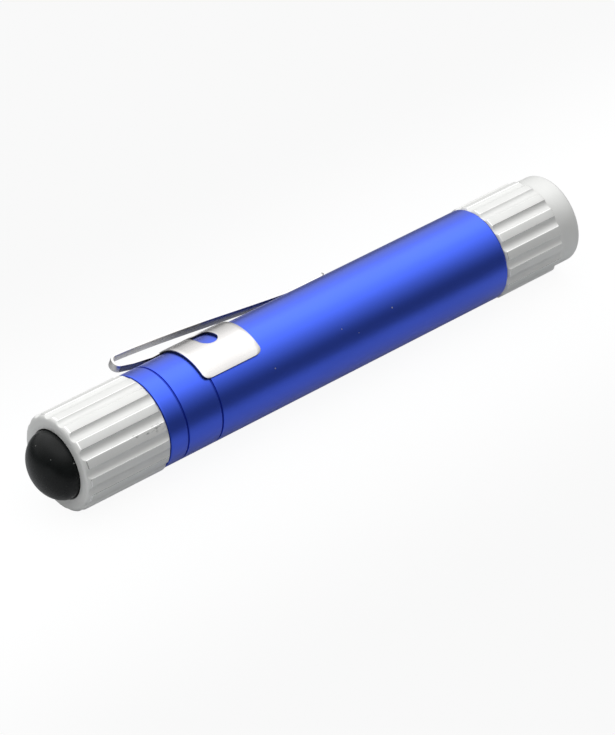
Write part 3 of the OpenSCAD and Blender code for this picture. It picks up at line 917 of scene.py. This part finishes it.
@dataclass
class Barrel:
    """The blue barrel with its turned lines and its two spigots."""

    line_xs: tuple[float, float] = (3.0, 9.0)
    line_w: float = 0.3
    line_depth: float = 0.15
    chamfer: float = 0.15
    groove: tuple[float, float, float] = (0.6, 0.75, 0.5)
    edge: float = 0.05
    hold: float = 0.08

    def _line(self, x: float) -> Outline:
        """Outline of one turned line with softened lips, held flat beside them.

        Args:
            x: Place of the line's middle.

        Returns:
            The points from rear to front.
        """
        half, lip, r = self.line_w / 2, self.edge, AT.barrel_r
        rear, front = (
            [
                (x + way * half + way * lip + way * self.hold, r),
                (x + way * half + way * lip, r),
                (x + way * half + way * lip * 0.3, r - lip * 0.3),
                (x + way * half, r - lip),
                (x + way * half - way * lip * 0.4, r - self.line_depth),
            ]
            for way in (-1, 1)
        )
        return rear + front[::-1]

    def _shoulder(self, x: float, way: int) -> Outline:
        """Outline of the softened edge at one end of the barrel.

        Args:
            x: Place of the end's face.
            way: 1 where the barrel lies ahead of the face and -1 where it lies behind.

        Returns:
            The points from the face to the barrel's side.
        """
        chamfer, r = self.chamfer, AT.barrel_r
        return [
            (x, r - chamfer),
            (x + way * chamfer * 0.3, r - chamfer * 0.4),
            (x + way * chamfer, r),
            (x + way * chamfer + way * self.hold, r),
        ]

    def _spigot(self, root: float, way: int) -> Outline:
        """Outline of a spigot with the groove of its seal.

        Args:
            root: Place of the shoulder that it stands on.
            way: 1 where it points to the beam and -1 where it points to the tail.

        Returns:
            The points from the shoulder to the bore.
        """
        start, width, depth = self.groove
        tip = root + way * AT.spigot_l
        return [
            (root, AT.spigot_r),
            (root + way * start, AT.spigot_r),
            (root + way * start, AT.spigot_r - depth),
            (root + way * (start + width), AT.spigot_r - depth),
            (root + way * (start + width), AT.spigot_r),
            (tip - way * self.chamfer, AT.spigot_r),
            (tip, AT.spigot_r - self.chamfer),
            (tip, AT.bore_r),
        ]

    def build(self) -> None:
        """Builds the barrel and sets it on its body."""
        rear, front = AT.junction, AT.grip_front
        outline = self._spigot(rear, -1)[::-1] + self._shoulder(rear, 1)
        for x in self.line_xs:
            outline += self._line(rear + x)
        outline += self._shoulder(front, -1)[::-1] + self._spigot(front, 1)
        piece = lathe("barrel_tube", outline, Ends.JOINED, steps=224)
        fit(piece, "barrel", "barrel_unit", BLUE_TUBE)


@dataclass
class FlutedGrip:
    """A turned shell whose outside is cut by long flutes."""

    count: int = 16
    phase: float = 0.0
    depth: float = 0.35
    cutter_r: float = 1.12
    softness: float = 0.035
    stations: tuple[float, ...] = (
        0.0, 1.3, 2.6, 3.8, 4.7, 5.3, 5.7, 5.95, 6.15, 6.35, 6.6, 7.0, 7.7, 8.8, 10.1,
    )

    def angles(self) -> list[float]:
        """Angles round the grip, closest together at the flutes' edges.

        Returns:
            The angles in degrees, once round.
        """
        pitch = 360 / self.count
        half = [*self.stations, pitch / 2]
        one = [-a for a in reversed(half[1:-1])] + half
        return [self.phase + i * pitch + a for i in range(self.count) for a in one]

    def cut(self, angle: float) -> float:
        """Radius that the flutes leave, far out between them.

        Args:
            angle: Angle round the light.

        Returns:
            The radius.
        """
        pitch = 360 / self.count
        off = math.radians((angle - self.phase + pitch / 2) % pitch - pitch / 2)
        centre = AT.land_r - self.depth + self.cutter_r
        left = self.cutter_r**2 - (centre * math.sin(off)) ** 2
        return centre * math.cos(off) - math.sqrt(left) if left > 0 else centre

    def ring(self, x: float, r: float, fluted: bool) -> Ring:
        """One ring of the shell.

        Args:
            x: Place of the ring.
            r: Radius of the turned shell there.
            fluted: Whether the flutes cut softly into it where they reach.

        Returns:
            The ring's points.
        """
        points = []
        for angle in self.angles():
            left = r
            if fluted:
                cut, k = self.cut(angle), self.softness
                low = min(r, cut)
                left = low - k * math.log(math.exp((low - r) / k) + math.exp((low - cut) / k))
                left = max(left, low - k)
            points.append(around(x, left, angle))
        return points

    def mouth(self, x: float, way: int, chamfer: float) -> Outline:
        """Outline of the edge that meets the barrel.

        Args:
            x: Place of the edge.
            way: 1 where the grip lies ahead of its edge and -1 where it lies behind.
            chamfer: Size of the edge's chamfer.

        Returns:
            The points from just outside the thread out to the lands.
        """
        corner, land = AT.land_r - chamfer, AT.land_r
        return [
            (x, AT.thread_r + 0.1),
            (x, corner - 0.03),
            (x + way * 0.03, corner + 0.01),
            (x + way * chamfer * 0.5, land - chamfer * 0.5),
            (x + way * chamfer - way * 0.02, land - 0.03),
            (x + way * chamfer + way * 0.05, land),
        ]

    def shell(self, name: str, grip: Outline, rest: Outline) -> bpy.types.Object:
        """Skins the shell.

        Args:
            name: Name of the object.
            grip: Outline of the stretch that the flutes cut.
            rest: Outline of the plain rest, which goes on from it.

        Returns:
            The object.
        """
        rings = [self.ring(x, r, True) for x, r in grip]
        rings += [self.ring(x, r, False) for x, r in rest]
        return skin(name, rings, Ends.JOINED, sharp=38.0)


@dataclass
class TailCap(FlutedGrip):
    """The fluted tail cap with its rounded rim."""

    phase: float = 5.9
    opening_r: float = 5.15
    opening_round: float = 0.12
    rim_flat_r: float = 6.0
    rim_round: float = 0.75
    front_chamfer: float = 0.3
    cavity_r: float = 5.95
    lip_x: float = -85.8
    step_x: float = -77.8
    ring_start: float = 0.4
    ring_gap: float = 1.2
    ring_count: int = 10

    def build(self) -> None:
        """Builds the cap and sets it on its body."""
        front, soft = AT.junction - AT.seam, self.opening_round
        grip = self.mouth(front, -1, self.front_chamfer)
        for i in range(1, self.ring_count + 1):
            grip.append((front - self.ring_start - self.ring_gap * i, AT.land_r))
        grip += arc(
            AT.tail + self.rim_round, AT.land_r - self.rim_round, self.rim_round, 90, 180, 12
        )
        rest = [(AT.tail, self.rim_flat_r)]
        rest += arc(AT.tail + soft, self.opening_r + soft, soft, 180, 270, 4)
        rest += [
            (self.lip_x, self.opening_r),
            (self.lip_x, self.cavity_r),
            (self.step_x, self.cavity_r),
            (self.step_x, AT.thread_r),
            (front - 0.1, AT.thread_r),
        ]
        piece = self.shell("tail_cap_shell", grip, rest)
        fit(piece, "tail_cap", "tail_cap_unit", GRIP_METAL)


@dataclass
class Head(FlutedGrip):
    """The fluted head with its plain nose ring and window."""

    phase: float = 9.2
    nose_r: float = 6.72
    nose_round: float = 0.5
    rear_chamfer: float = 0.3
    front_chamfer: float = 0.15
    window_r: float = 5.0
    window_chamfer: float = 0.35
    lip_x: float = 3.0
    cavity_r: float = 5.75
    step_x: float = -5.4
    ring_start: float = 0.9
    ring_gap: float = 1.05
    ring_count: int = 9

    def build(self) -> None:
        """Builds the head and sets it on its body."""
        rear, chamfer = AT.grip_front + AT.seam, self.front_chamfer
        grip = self.mouth(rear, 1, self.rear_chamfer)
        for i in range(self.ring_count):
            grip.append((rear + self.ring_start + self.ring_gap * i, AT.land_r))
        grip += arc(-chamfer, AT.land_r - chamfer, chamfer, 90, 0, 5)
        grip += [(0.0, self.nose_r + 0.06), (0.02, self.nose_r + 0.015), (0.08, self.nose_r)]
        rest = [(1.1 * i, self.nose_r) for i in (1, 2)]
        rest += arc(
            AT.nose - self.nose_round, self.nose_r - self.nose_round, self.nose_round, 90, 0, 9
        )
        rest += [
            (AT.nose, self.window_r + self.window_chamfer + 0.04),
            (AT.nose - 0.02, self.window_r + self.window_chamfer),
            (AT.nose - self.window_chamfer + 0.02, self.window_r + 0.02),
            (AT.nose - self.window_chamfer - 0.04, self.window_r),
            (self.lip_x, self.window_r),
            (self.lip_x, self.cavity_r),
            (self.step_x, self.cavity_r),
            (self.step_x, AT.thread_r),
            (rear + 0.1, AT.thread_r),
        ]
        piece = self.shell("head_grip_shell", grip, rest)
        fit(piece, "head_shell", "head_unit", GRIP_METAL)


@dataclass
class Button:
    """The domed rubber boot that closes the tail."""

    dome_r: float = 5.05
    dome_h: float = 3.7
    wall: float = 0.9
    flange_r: float = 5.9
    flange_x: tuple[float, float] = (-85.75, -85.05)

    def _dome(self, height: float, radius: float, steps: int) -> Outline:
        """Outline of an elliptical dome from the axis out to its foot."""
        turns = [math.radians(90 * i / steps) for i in range(steps + 1)]
        return [(AT.tail - height * math.cos(a), radius * math.sin(a)) for a in turns]

    def build(self) -> None:
        """Builds the boot and sets it on its body."""
        rear, front = self.flange_x
        outline = self._dome(self.dome_h, self.dome_r, 30)
        outline += [
            (rear, self.dome_r),
            (rear, self.flange_r),
            (front, self.flange_r),
            (front, self.dome_r - self.wall),
        ]
        outline += reversed(self._dome(self.dome_h - self.wall, self.dome_r - self.wall, 20))
        piece = lathe("button_dome", outline, Ends.POINTED, steps=128)
        fit(piece, "button_boot", "button", BOOT_RUBBER)


@dataclass
class PocketClip:
    """The pocket clip: a saddle round the barrel, a strip, a bend and a sprung arm."""

    turn: float = 24.2
    thick: float = 0.4
    saddle_x: float = -64.5
    saddle_l: float = 10.1
    saddle_r: float = 7.25
    wrap: float = 207.0
    corner_r: float = 0.95
    hole: tuple[float, float] = (2.95, 5.1)
    hole_at: tuple[float, float] = (5.1, 46.0)
    root_w: float = 4.0
    bend_w: float = 1.6
    arm_w: float = 2.0
    tip_w: float = 1.4
    bend: tuple[float, float] = (-69.55, 9.43)
    bend_r: float = 0.9
    arm_l: float = 28.0
    slopes: tuple[float, float] = (0.05, 0.1)
    heel: tuple[float, float, float] = (7.32, 30.0, 3.5)
    curl: tuple[float, float, float] = (2.0, 32.0, 0.4)
    wide_share: float = 0.55
    least_half: float = 0.04
    narrow_short: float = 1.4
    narrow_ease: float = 1.25
    strip_past: float = 0.02
    edge: float = 0.06
    columns: int = 14
    hole_rows: int = 14
    hole_loops: int = 7
    hole_ease: float = 1.3
    wing_steps: int = 6
    corner_steps: int = 8
    strip_columns: int = 10
    strip_steps: int = 16
    bend_steps: int = 28
    arm_steps: int = 30
    heel_steps: int = 6
    curl_steps: int = 12
    tip_steps: int = 8

    def __post_init__(self) -> None:
        """Works out the strip's lower end, where it touches the bend."""
        dx = self.saddle_x - self.bend[0]
        dz = self.saddle_r - self.bend[1]
        slope = math.atan2(dz, dx) + math.asin(self.bend_r / math.hypot(dx, dz))
        self.foot_angle = 270 + math.degrees(slope)
        foot = math.radians(self.foot_angle)
        self.foot = (
            self.bend[0] + self.bend_r * math.cos(foot),
            self.bend[1] + self.bend_r * math.sin(foot),
        )

    def stand(self, x: float, side: float, height: float) -> Point:
        """Point from a place, a distance to the side and a height over the axis."""
        a = math.radians(self.turn)
        return (
            x,
            height * math.cos(a) - side * math.sin(a),
            height * math.sin(a) + side * math.cos(a),
        )

    def wrapped(self, x: float, along: float) -> Point:
        """Point of the saddle's middle sheet from its flat pattern."""
        angle = self.turn + math.degrees(along / self.saddle_r)
        return around(self.saddle_x + x, self.saddle_r, angle)

    def _hole_reach(self, dx: float, dt: float) -> float:
        """Distance from a hole's middle to its rim.

        Args:
            dx: Share of a unit direction that runs along the light.
            dt: Share of it that runs round the barrel.

        Returns:
            The distance in the flat pattern.
        """
        half = self.hole[0] / 2
        run = (self.hole[1] - self.hole[0]) / 2
        if abs(dx) > 1e-9 and abs(dt / dx) * half <= run:
            return half / abs(dx)
        across = run * abs(dx)
        return run * abs(dt) + math.sqrt(half * half - across * across)

    def _hole_block(self, side: int) -> tuple[list[Point], list[tuple[int, ...]]]:
        """The saddle's sheet round one hole.

        Args:
            side: 1 or -1, for the two sides of the strip.

        Returns:
            Points and faces.
        """
        n, rows, loops, middle_x = self.columns, self.hole_rows, self.hole_loops, self.hole_at[0]
        middle_t = math.radians(self.hole_at[1]) * self.saddle_r
        low, high = self.root_w / 2, 2 * middle_t - self.root_w / 2
        rim = [(self.saddle_l * i / n, low) for i in range(n)]
        rim += [(self.saddle_l, blend(low, high, i / rows)) for i in range(rows)]
        rim += [(self.saddle_l * (1 - i / n), high) for i in range(n)]
        rim += [(0.0, blend(high, low, i / rows)) for i in range(rows)]
        points = []
        for level in range(loops + 1):
            share = (level / loops) ** self.hole_ease
            for x, t in rim:
                dx, dt = x - middle_x, t - middle_t
                length = math.hypot(dx, dt)
                reach = self._hole_reach(dx / length, dt / length)
                scale = blend(reach / length, 1.0, share)
                px, pt = middle_x + dx * scale, middle_t + dt * scale
                points.append(self.wrapped(px, side * pt))
        return points, quads(loops + 1, len(rim), True)

    def _grid(self, rows: Sequence[Ring]) -> tuple[list[Point], list[tuple[int, ...]]]:
        """Points and faces of a plain grid of rows."""
        return [p for row in rows for p in row], quads(len(rows), len(rows[0]), False)

    def _wing(self, side: int) -> tuple[list[Point], list[tuple[int, ...]]]:
        """One wing of the saddle, past its hole, with rounded corners.

        Args:
            side: 1 or -1, for the two sides of the strip.

        Returns:
            Points and faces.
        """
        middle_t = math.radians(self.hole_at[1]) * self.saddle_r
        start = 2 * middle_t - self.root_w / 2
        end = math.radians(self.wrap / 2) * self.saddle_r
        straight, n = end - self.corner_r, self.columns
        levels = [
            (blend(start, straight, i / self.wing_steps), 0.0) for i in range(self.wing_steps)
        ]
        for i in range(self.corner_steps + 1):
            a = math.radians(90 * i / self.corner_steps)
            inset = self.corner_r * (1 - math.cos(a))
            levels.append((straight + self.corner_r * math.sin(a), inset))
        rows = []
        for t, inset in levels:
            xs = [blend(inset, self.saddle_l - inset, i / n) for i in range(n + 1)]
            rows.append([self.wrapped(x, side * t) for x in xs])
        return self._grid(rows)

    def _strip(self) -> tuple[list[Point], list[tuple[int, ...]]]:
        """The saddle's middle and the strip to the bend.

        Returns:
            Points and faces.
        """
        count, steps = self.strip_columns, self.strip_steps
        across = [blend(-1.0, 1.0, i / count) for i in range(count + 1)]
        rows = []
        for i in range(self.columns + 1):
            x = self.saddle_l * (1 - i / self.columns)
            rows.append([self.wrapped(x, s * self.root_w / 2) for s in across])
        for i in range(1, steps + 1):
            share = i / steps * (1 + self.strip_past)
            x = blend(self.saddle_x, self.foot[0], share)
            height = blend(self.saddle_r, self.foot[1], share)
            half = self.half_width(x)
            curve = (1 - smooth(share)) / self.saddle_r
            rows.append(
                [
                    self.stand(x, s * half, height - curve * (s * half) ** 2 / 2)
                    for s in across
                ]
            )
        return self._grid(rows)

    def half_width(self, x: float) -> float:
        """Half the strip's width between the saddle and the bend.

        Args:
            x: Place along the light.

        Returns:
            Half the width.
        """
        run = self.saddle_x - self.bend[0] - self.narrow_short
        share = min(max((self.saddle_x - x) / run, 0.0), 1.0)
        ease = 1 - (1 - share) ** self.narrow_ease
        return blend(self.root_w, self.bend_w, ease) / 2

    def _saddle(self) -> bpy.types.Object:
        """Builds the saddle and its strip as one sheet of steel.

        Returns:
            The piece.
        """
        points: list[Point] = []
        faces: list[tuple[int, ...]] = []
        blocks = [self._strip()]
        blocks += [self._hole_block(side) for side in (-1, 1)]
        blocks += [self._wing(side) for side in (-1, 1)]
        for block_points, block_faces in blocks:
            faces += [tuple(len(points) + i for i in face) for face in block_faces]
            points += block_points
        sheet = mesh_object("saddle_sheet", points, faces)
        shell = sheet.modifiers.new("thickness", "SOLIDIFY")
        shell.thickness = self.thick * MM
        shell.offset = 0.0
        soften = sheet.modifiers.new("stamped edge", "BEVEL")
        soften.width = self.edge * MM
        soften.segments = 2
        soften.limit_method = "ANGLE"
        soften.angle_limit = math.radians(50)
        return applied(sheet)

    def _line(self) -> list[tuple[float, float, float]]:
        """Middle line of the bend and the arm.

        Returns:
            Its points, each by its place, its height over the axis and its slope in degrees.
        """
        first, last = self.slopes
        line = []
        end = 90 - math.degrees(math.atan(first))
        for i in range(self.bend_steps + 1):
            slope = blend(self.foot_angle, end, i / self.bend_steps)
            a = math.radians(slope)
            x = self.bend[0] + self.bend_r * math.cos(a)
            line.append((x, self.bend[1] + self.bend_r * math.sin(a), slope - 90))
        x0, z0, _ = line[-1]
        low, heel_r, flat = self.heel
        tilt = math.atan(last)
        x1, z1 = self.bend[0] + self.arm_l, low + heel_r * (1 - math.cos(tilt))
        length, drop = x1 - x0, z0 - z1
        m0, m1 = -first * length / drop, -last * length / drop
        for i in range(1, self.arm_steps + 1):
            t = i / self.arm_steps
            height = 2 * t**3 - 3 * t**2 + 1 + m0 * (t**3 - 2 * t**2 + t) + m1 * (t**3 - t**2)
            fall = 6 * t**2 - 6 * t + m0 * (3 * t**2 - 4 * t + 1) + m1 * (3 * t**2 - 2 * t)
            slope = math.degrees(math.atan(fall * drop / length))
            line.append((x0 + length * t, z1 + drop * height, slope))
        heel_x = x1 + heel_r * math.sin(tilt)
        for i in range(1, self.heel_steps + 1):
            a = tilt * (1 - i / self.heel_steps)
            height = low + heel_r * (1 - math.cos(a))
            line.append((heel_x - heel_r * math.sin(a), height, -math.degrees(a)))
        radius, curl, tail = self.curl
        start = heel_x + flat
        for i in range(self.curl_steps + 1):
            a = math.radians(curl * i / self.curl_steps)
            height = low + radius * (1 - math.cos(a))
            line.append((start + radius * math.sin(a), height, math.degrees(a)))
        x, z, slope = line[-1]
        a = math.radians(slope)
        for i in range(1, self.tip_steps + 1):
            d = tail * math.sin(math.pi / 2 * i / self.tip_steps)
            line.append((x + d * math.cos(a), z + d * math.sin(a), slope))
        return line

    def _arm_half(self, x: float, tip: float) -> float:
        """Half the arm's width, with a round end at the tip.

        Args:
            x: Place along the light.
            tip: Place of the arm's end.

        Returns:
            Half the width.
        """
        wide = self.bend[0] + self.arm_l * self.wide_share
        turn = tip - self.tip_w / 2
        if x < self.bend[0]:
            return self.bend_w / 2
        if x < wide:
            return blend(self.bend_w, self.arm_w, (x - self.bend[0]) / (wide - self.bend[0])) / 2
        if x < turn:
            return blend(self.arm_w, self.tip_w, (x - wide) / (turn - wide)) / 2
        return math.sqrt(max((self.tip_w / 2) ** 2 - (x - turn) ** 2, self.least_half**2))

    def _arm(self) -> bpy.types.Object:
        """Builds the bend, the arm and its curled tip.

        Returns:
            The piece.
        """
        line = self._line()
        tip = line[-1][0]
        rings = []
        for i, (x, z, slope) in enumerate(line):
            a = math.radians(slope)
            normal = (-math.sin(a), math.cos(a))
            half = self.bend_w / 2 if i < self.bend_steps else self._arm_half(x, tip)
            soft = min(self.edge, half * 0.5)
            ring = []
            for side, up, start in ((1, 1, 0), (-1, 1, 90), (-1, -1, 180), (1, -1, 270)):
                for j in range(4):
                    b = math.radians(start + 30 * j)
                    s = side * (half - soft) + soft * math.cos(b)
                    h = up * (self.thick / 2 - soft) + soft * math.sin(b)
                    ring.append(self.stand(x + normal[0] * h, s, z + normal[1] * h))
            rings.append(ring)
        return skin("clip_spring_arm", rings, Ends.CAPPED, sharp=50.0)

    def build(self) -> None:
        """Builds the clip's two pieces and sets them on their bodies."""
        fit(self._saddle(), "clip_saddle", "clip", SADDLE_STEEL)
        fit(self._arm(), "clip_arm", "clip_spring", ARM_STEEL)


@dataclass
class Spring:
    """A round wire coil along the light's axis."""

    node: str
    body: str
    slot: str
    finish: Look
    ends: tuple[float, float]
    radius: float
    wire: float
    curls: int
    steps: int = 30
    sides: int = 10

    def build(self) -> bpy.types.Object:
        """Builds the coil and sets it on its body.

        Returns:
            The piece.
        """
        start, end = self.ends
        climb = end - start - self.wire
        lean_angle = math.atan(climb / self.curls / (2 * math.pi * self.radius))
        rings = []
        for i in range(self.curls * self.steps + 1):
            a = math.radians(360 * i / self.steps)
            x = start + self.wire / 2 + climb * i / (self.curls * self.steps)
            ring = []
            for j in range(self.sides):
                b = math.radians(360 * (j + 0.5) / self.sides)
                out, up = self.wire / 2 * math.cos(b), self.wire / 2 * math.sin(b)
                r, tip = self.radius + out, up * math.sin(lean_angle)
                ring.append(
                    (
                        x + up * math.cos(lean_angle),
                        r * math.cos(a) + tip * math.sin(a),
                        r * math.sin(a) - tip * math.cos(a),
                    )
                )
            rings.append(ring)
        piece = skin(self.node + "_wire", rings, Ends.CAPPED, sharp=50.0)
        fit(piece, self.node, self.body, self.finish)
        return piece


@dataclass
class Springs:
    """The three springs: behind the cell, in front of it, and under the button."""

    press: tuple[float, float] = (-81.35, -78.8)
    travel: float = 1.2

    def build(self) -> None:
        """Builds the springs."""
        Spring(
            "tail_spring", "switch_unit", "spring_steel", SPRING_WIRE,
            ends=(-77.8, -62.8), radius=3.3, wire=0.5, curls=8,
        ).build()
        Spring(
            "cell_spring", "barrel_unit", "contact_brass", CONTACT_BRASS,
            ends=(-18.3, -15.3), radius=1.6, wire=0.4, curls=3,
        ).build()
        button = Spring(
            "switch_spring", "switch_unit", "spring_steel", SPRING_WIRE,
            ends=self.press, radius=1.9, wire=0.3, curls=3,
        ).build()
        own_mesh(button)


@dataclass
class Reflector:
    """The bright bowl behind the lens."""

    rear: float = -4.35
    front: float = 1.45
    hole_r: float = 2.6
    mouth_r: float = 5.3
    skirt_r: float = 5.67
    skirt_l: float = 1.2
    wall: float = 0.8

    def build(self) -> None:
        """Builds the bowl and sets it on its body."""
        steps = 40
        bowl = []
        for i in range(steps, -1, -1):
            share = i / steps
            bowl.append(
                (
                    blend(self.rear, self.front, share),
                    math.sqrt(blend(self.hole_r**2, self.mouth_r**2, share)),
                )
            )
        outline = [
            (self.rear, self.hole_r + self.wall),
            (self.front - self.skirt_l, self.skirt_r),
            (self.front, self.skirt_r),
        ]
        piece = lathe("reflector_bowl", outline + bowl, Ends.JOINED, steps=128)
        fit(piece, "reflector", "optics_unit", BOWL_METAL)


@dataclass
class InnerParts:
    """The solids that keep their own shape and only get a finish or their slot's look."""

    finishes: dict[str, Look] = field(
        default_factory=lambda: {
            "tail_o_ring": SEAL_RUBBER,
            "head_o_ring": SEAL_RUBBER,
            "lens_seal": SEAL_RUBBER,
            "switch_plunger": PLUNGER_PLASTIC,
            "contact_disc": CONTACT_BRASS,
            "switch_housing": HOUSING_PLASTIC,
            "switch_board": BOARD_GREEN,
            "switch_ring": PILL_BRASS,
            "cell_can": CELL_WRAP,
            "cell_washer": WASHER_FIBRE,
            "cell_positive_nub": NUB_PLATING,
            "led_pill": PILL_BRASS,
            "driver_board": BOARD_GREEN,
            "led_leads": LEAD_SLEEVE,
            "led_board": BOARD_WHITE,
            "led_package": LED_CHIP,
            "led_dome": LED_GEL,
            "lens": LENS_CLEAR,
        }
    )

    def build(self) -> None:
        """Gives each of the solids its finish or its slot's look."""
        for node, finish in self.finishes.items():
            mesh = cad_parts[node].data
            mesh.materials.clear()
            mesh.materials.append(finish.material())
            log.info("%s: finish %s", node, finish.name)


# Studio


@dataclass
class Studio:
    """A pale floor, soft light from above and the camera of the photograph."""

    eye: Point = (-321.8, -328.2, 314.7)
    gaze: Point = (0.5204, 0.6116, -0.5959)
    lens_mm: float = 186.1
    sensor_mm: float = 36.0
    floor_m: float = 8.0
    floor_colour: Colour = (0.60, 0.61, 0.62)
    floor_painted_shade: float = 0.22
    floor_painted_pool: tuple[float, float] = (5.0, 50.0)
    sky_base: float = 0.14
    sky_tilt: float = 8.0
    sky_above: tuple[Point, ...] = ((0.89, 0.02, 0.96), (0.50, 0.56, 0.86))
    sky_behind: Point = (0.44, 0.2, 0.95)
    key_from: Point = (350.0, 200.0, 540.0)
    key_aim: Point = (-42.0, 0.0, 0.0)
    key_size: float = 0.36
    key_watts: float = 0.19
    white: float = 1.08
    pale: float = 0.86
    pale_in_gloss: float = 0.02

    def _camera(self) -> None:
        """Makes the camera."""
        data = bpy.data.cameras.new("camera")
        data.lens = self.lens_mm
        data.sensor_width = self.sensor_mm
        data.clip_start, data.clip_end = 0.01, 50.0
        camera = bpy.data.objects.new("camera", data)
        camera.location = Vector(self.eye) * MM
        camera.rotation_mode = "QUATERNION"
        camera.rotation_quaternion = Vector(self.gaze).to_track_quat("-Z", "Y")
        bpy.context.scene.collection.objects.link(camera)
        bpy.context.scene.camera = camera

    def _shown_share(self, graph: Graph) -> Sock:
        """How much of the plain white a ray meets.

        Args:
            graph: The floor's node tree.

        Returns:
            Most of it for the camera's rays, and a little in gloss and through glass.
        """
        path = graph.node("ShaderNodeLightPath")
        seen = Sock(graph, path.outputs["Is Camera Ray"])
        gloss = Sock(graph, path.outputs["Is Glossy Ray"])
        through = Sock(graph, path.outputs["Is Transmission Ray"])
        return seen * self.pale + (gloss + through) * self.pale_in_gloss

    def _floor(self) -> None:
        """Makes the floor, which keeps the soft shadow, with a painted pool of light: paler near
        the penlight and darker to either side of it.
        """
        low = CAD_BOX[0].z / MM
        half = self.floor_m / 2 / MM
        floor = mesh_object(
            "floor",
            [(-half, -half, low), (half, -half, low), (half, half, low), (-half, half, low)],
            [(0, 1, 2, 3)],
        )
        paint = bpy.data.materials.new("floor_paper")
        paint.use_nodes = True
        graph = Graph(paint.node_tree)
        # Painted pool of light: the paper's colour darkens with distance to either side of the
        # penlight, which shows mostly in reflections.
        _, y, _ = graph.split(graph.place())
        away = graph.step((y * y) ** 0.5, *self.floor_painted_pool)
        dark = lean(self.floor_colour, self.floor_painted_shade)
        shade = graph.tint(away, self.floor_colour, dark)
        paper = graph.value(
            "ShaderNodeBsdfDiffuse", inputs={"Color": shade, "Roughness": 0.5}
        )
        white = graph.value(
            "ShaderNodeEmission", inputs={"Color": (1.0, 1.0, 1.0), "Strength": self.white}
        )
        both = graph.value(
            "ShaderNodeMixShader", inputs={0: self._shown_share(graph), 1: paper, 2: white}
        )
        graph.node("ShaderNodeOutputMaterial", inputs={"Surface": both})
        floor.data.materials.append(paint)

    def _sky(self) -> None:
        """Makes the soft surroundings, bright above and behind, dim low down in front.

        Each band is a gain with the start and the end of its rise.
        """
        world = bpy.data.worlds.new("studio")
        world.use_nodes = True
        bpy.context.scene.world = world
        graph = Graph(world.node_tree)
        way = graph.value("ShaderNodeTexCoord", output="Generated")
        _, side, up = graph.split(way)
        tilt = math.radians(self.sky_tilt)
        towards = side * math.sin(tilt) + up * math.cos(tilt)
        strength: Value = self.sky_base
        for gain, low, high in self.sky_above:
            strength = strength + gain * graph.step(towards, low, high)
        gain, low, high = self.sky_behind
        strength = strength + gain * graph.step(side, low, high)
        path = graph.node("ShaderNodeLightPath")
        seen = Sock(graph, path.outputs["Is Camera Ray"])
        strength = strength * (1 - seen) + seen
        glow = graph.value(
            "ShaderNodeBackground", inputs={"Color": (1.0, 1.0, 1.0), "Strength": strength}
        )
        graph.node("ShaderNodeOutputWorld", inputs={"Surface": glow})

    def _key(self) -> None:
        """Makes the large soft lamp above and a little behind the light."""
        lamp = bpy.data.lights.new("softbox", "AREA")
        lamp.shape = "SQUARE"
        lamp.size = self.key_size
        lamp.energy = self.key_watts
        box = bpy.data.objects.new("softbox", lamp)
        box.location = Vector(self.key_from) * MM
        aim = Vector(self.key_aim) * MM - box.location
        box.rotation_mode = "QUATERNION"
        box.rotation_quaternion = aim.to_track_quat("-Z", "Y")
        bpy.context.scene.collection.objects.link(box)

    def build(self) -> None:
        """Builds the studio."""
        self._camera()
        self._floor()
        self._sky()
        self._key()
        bpy.context.scene.view_settings.view_transform = "Standard"
        log.info("studio: lens %.1f mm", self.lens_mm)


def main() -> None:
    """Builds the pieces and the studio in order."""
    logging.basicConfig(level=logging.INFO, format="%(name)s: %(message)s")
    parts = [
        Studio(), Barrel(), TailCap(), Head(), Button(), PocketClip(), Springs(), Reflector(),
        InnerParts(),
    ]
    for part in parts:
        part.build()


if __name__ == "__main__":
    main()
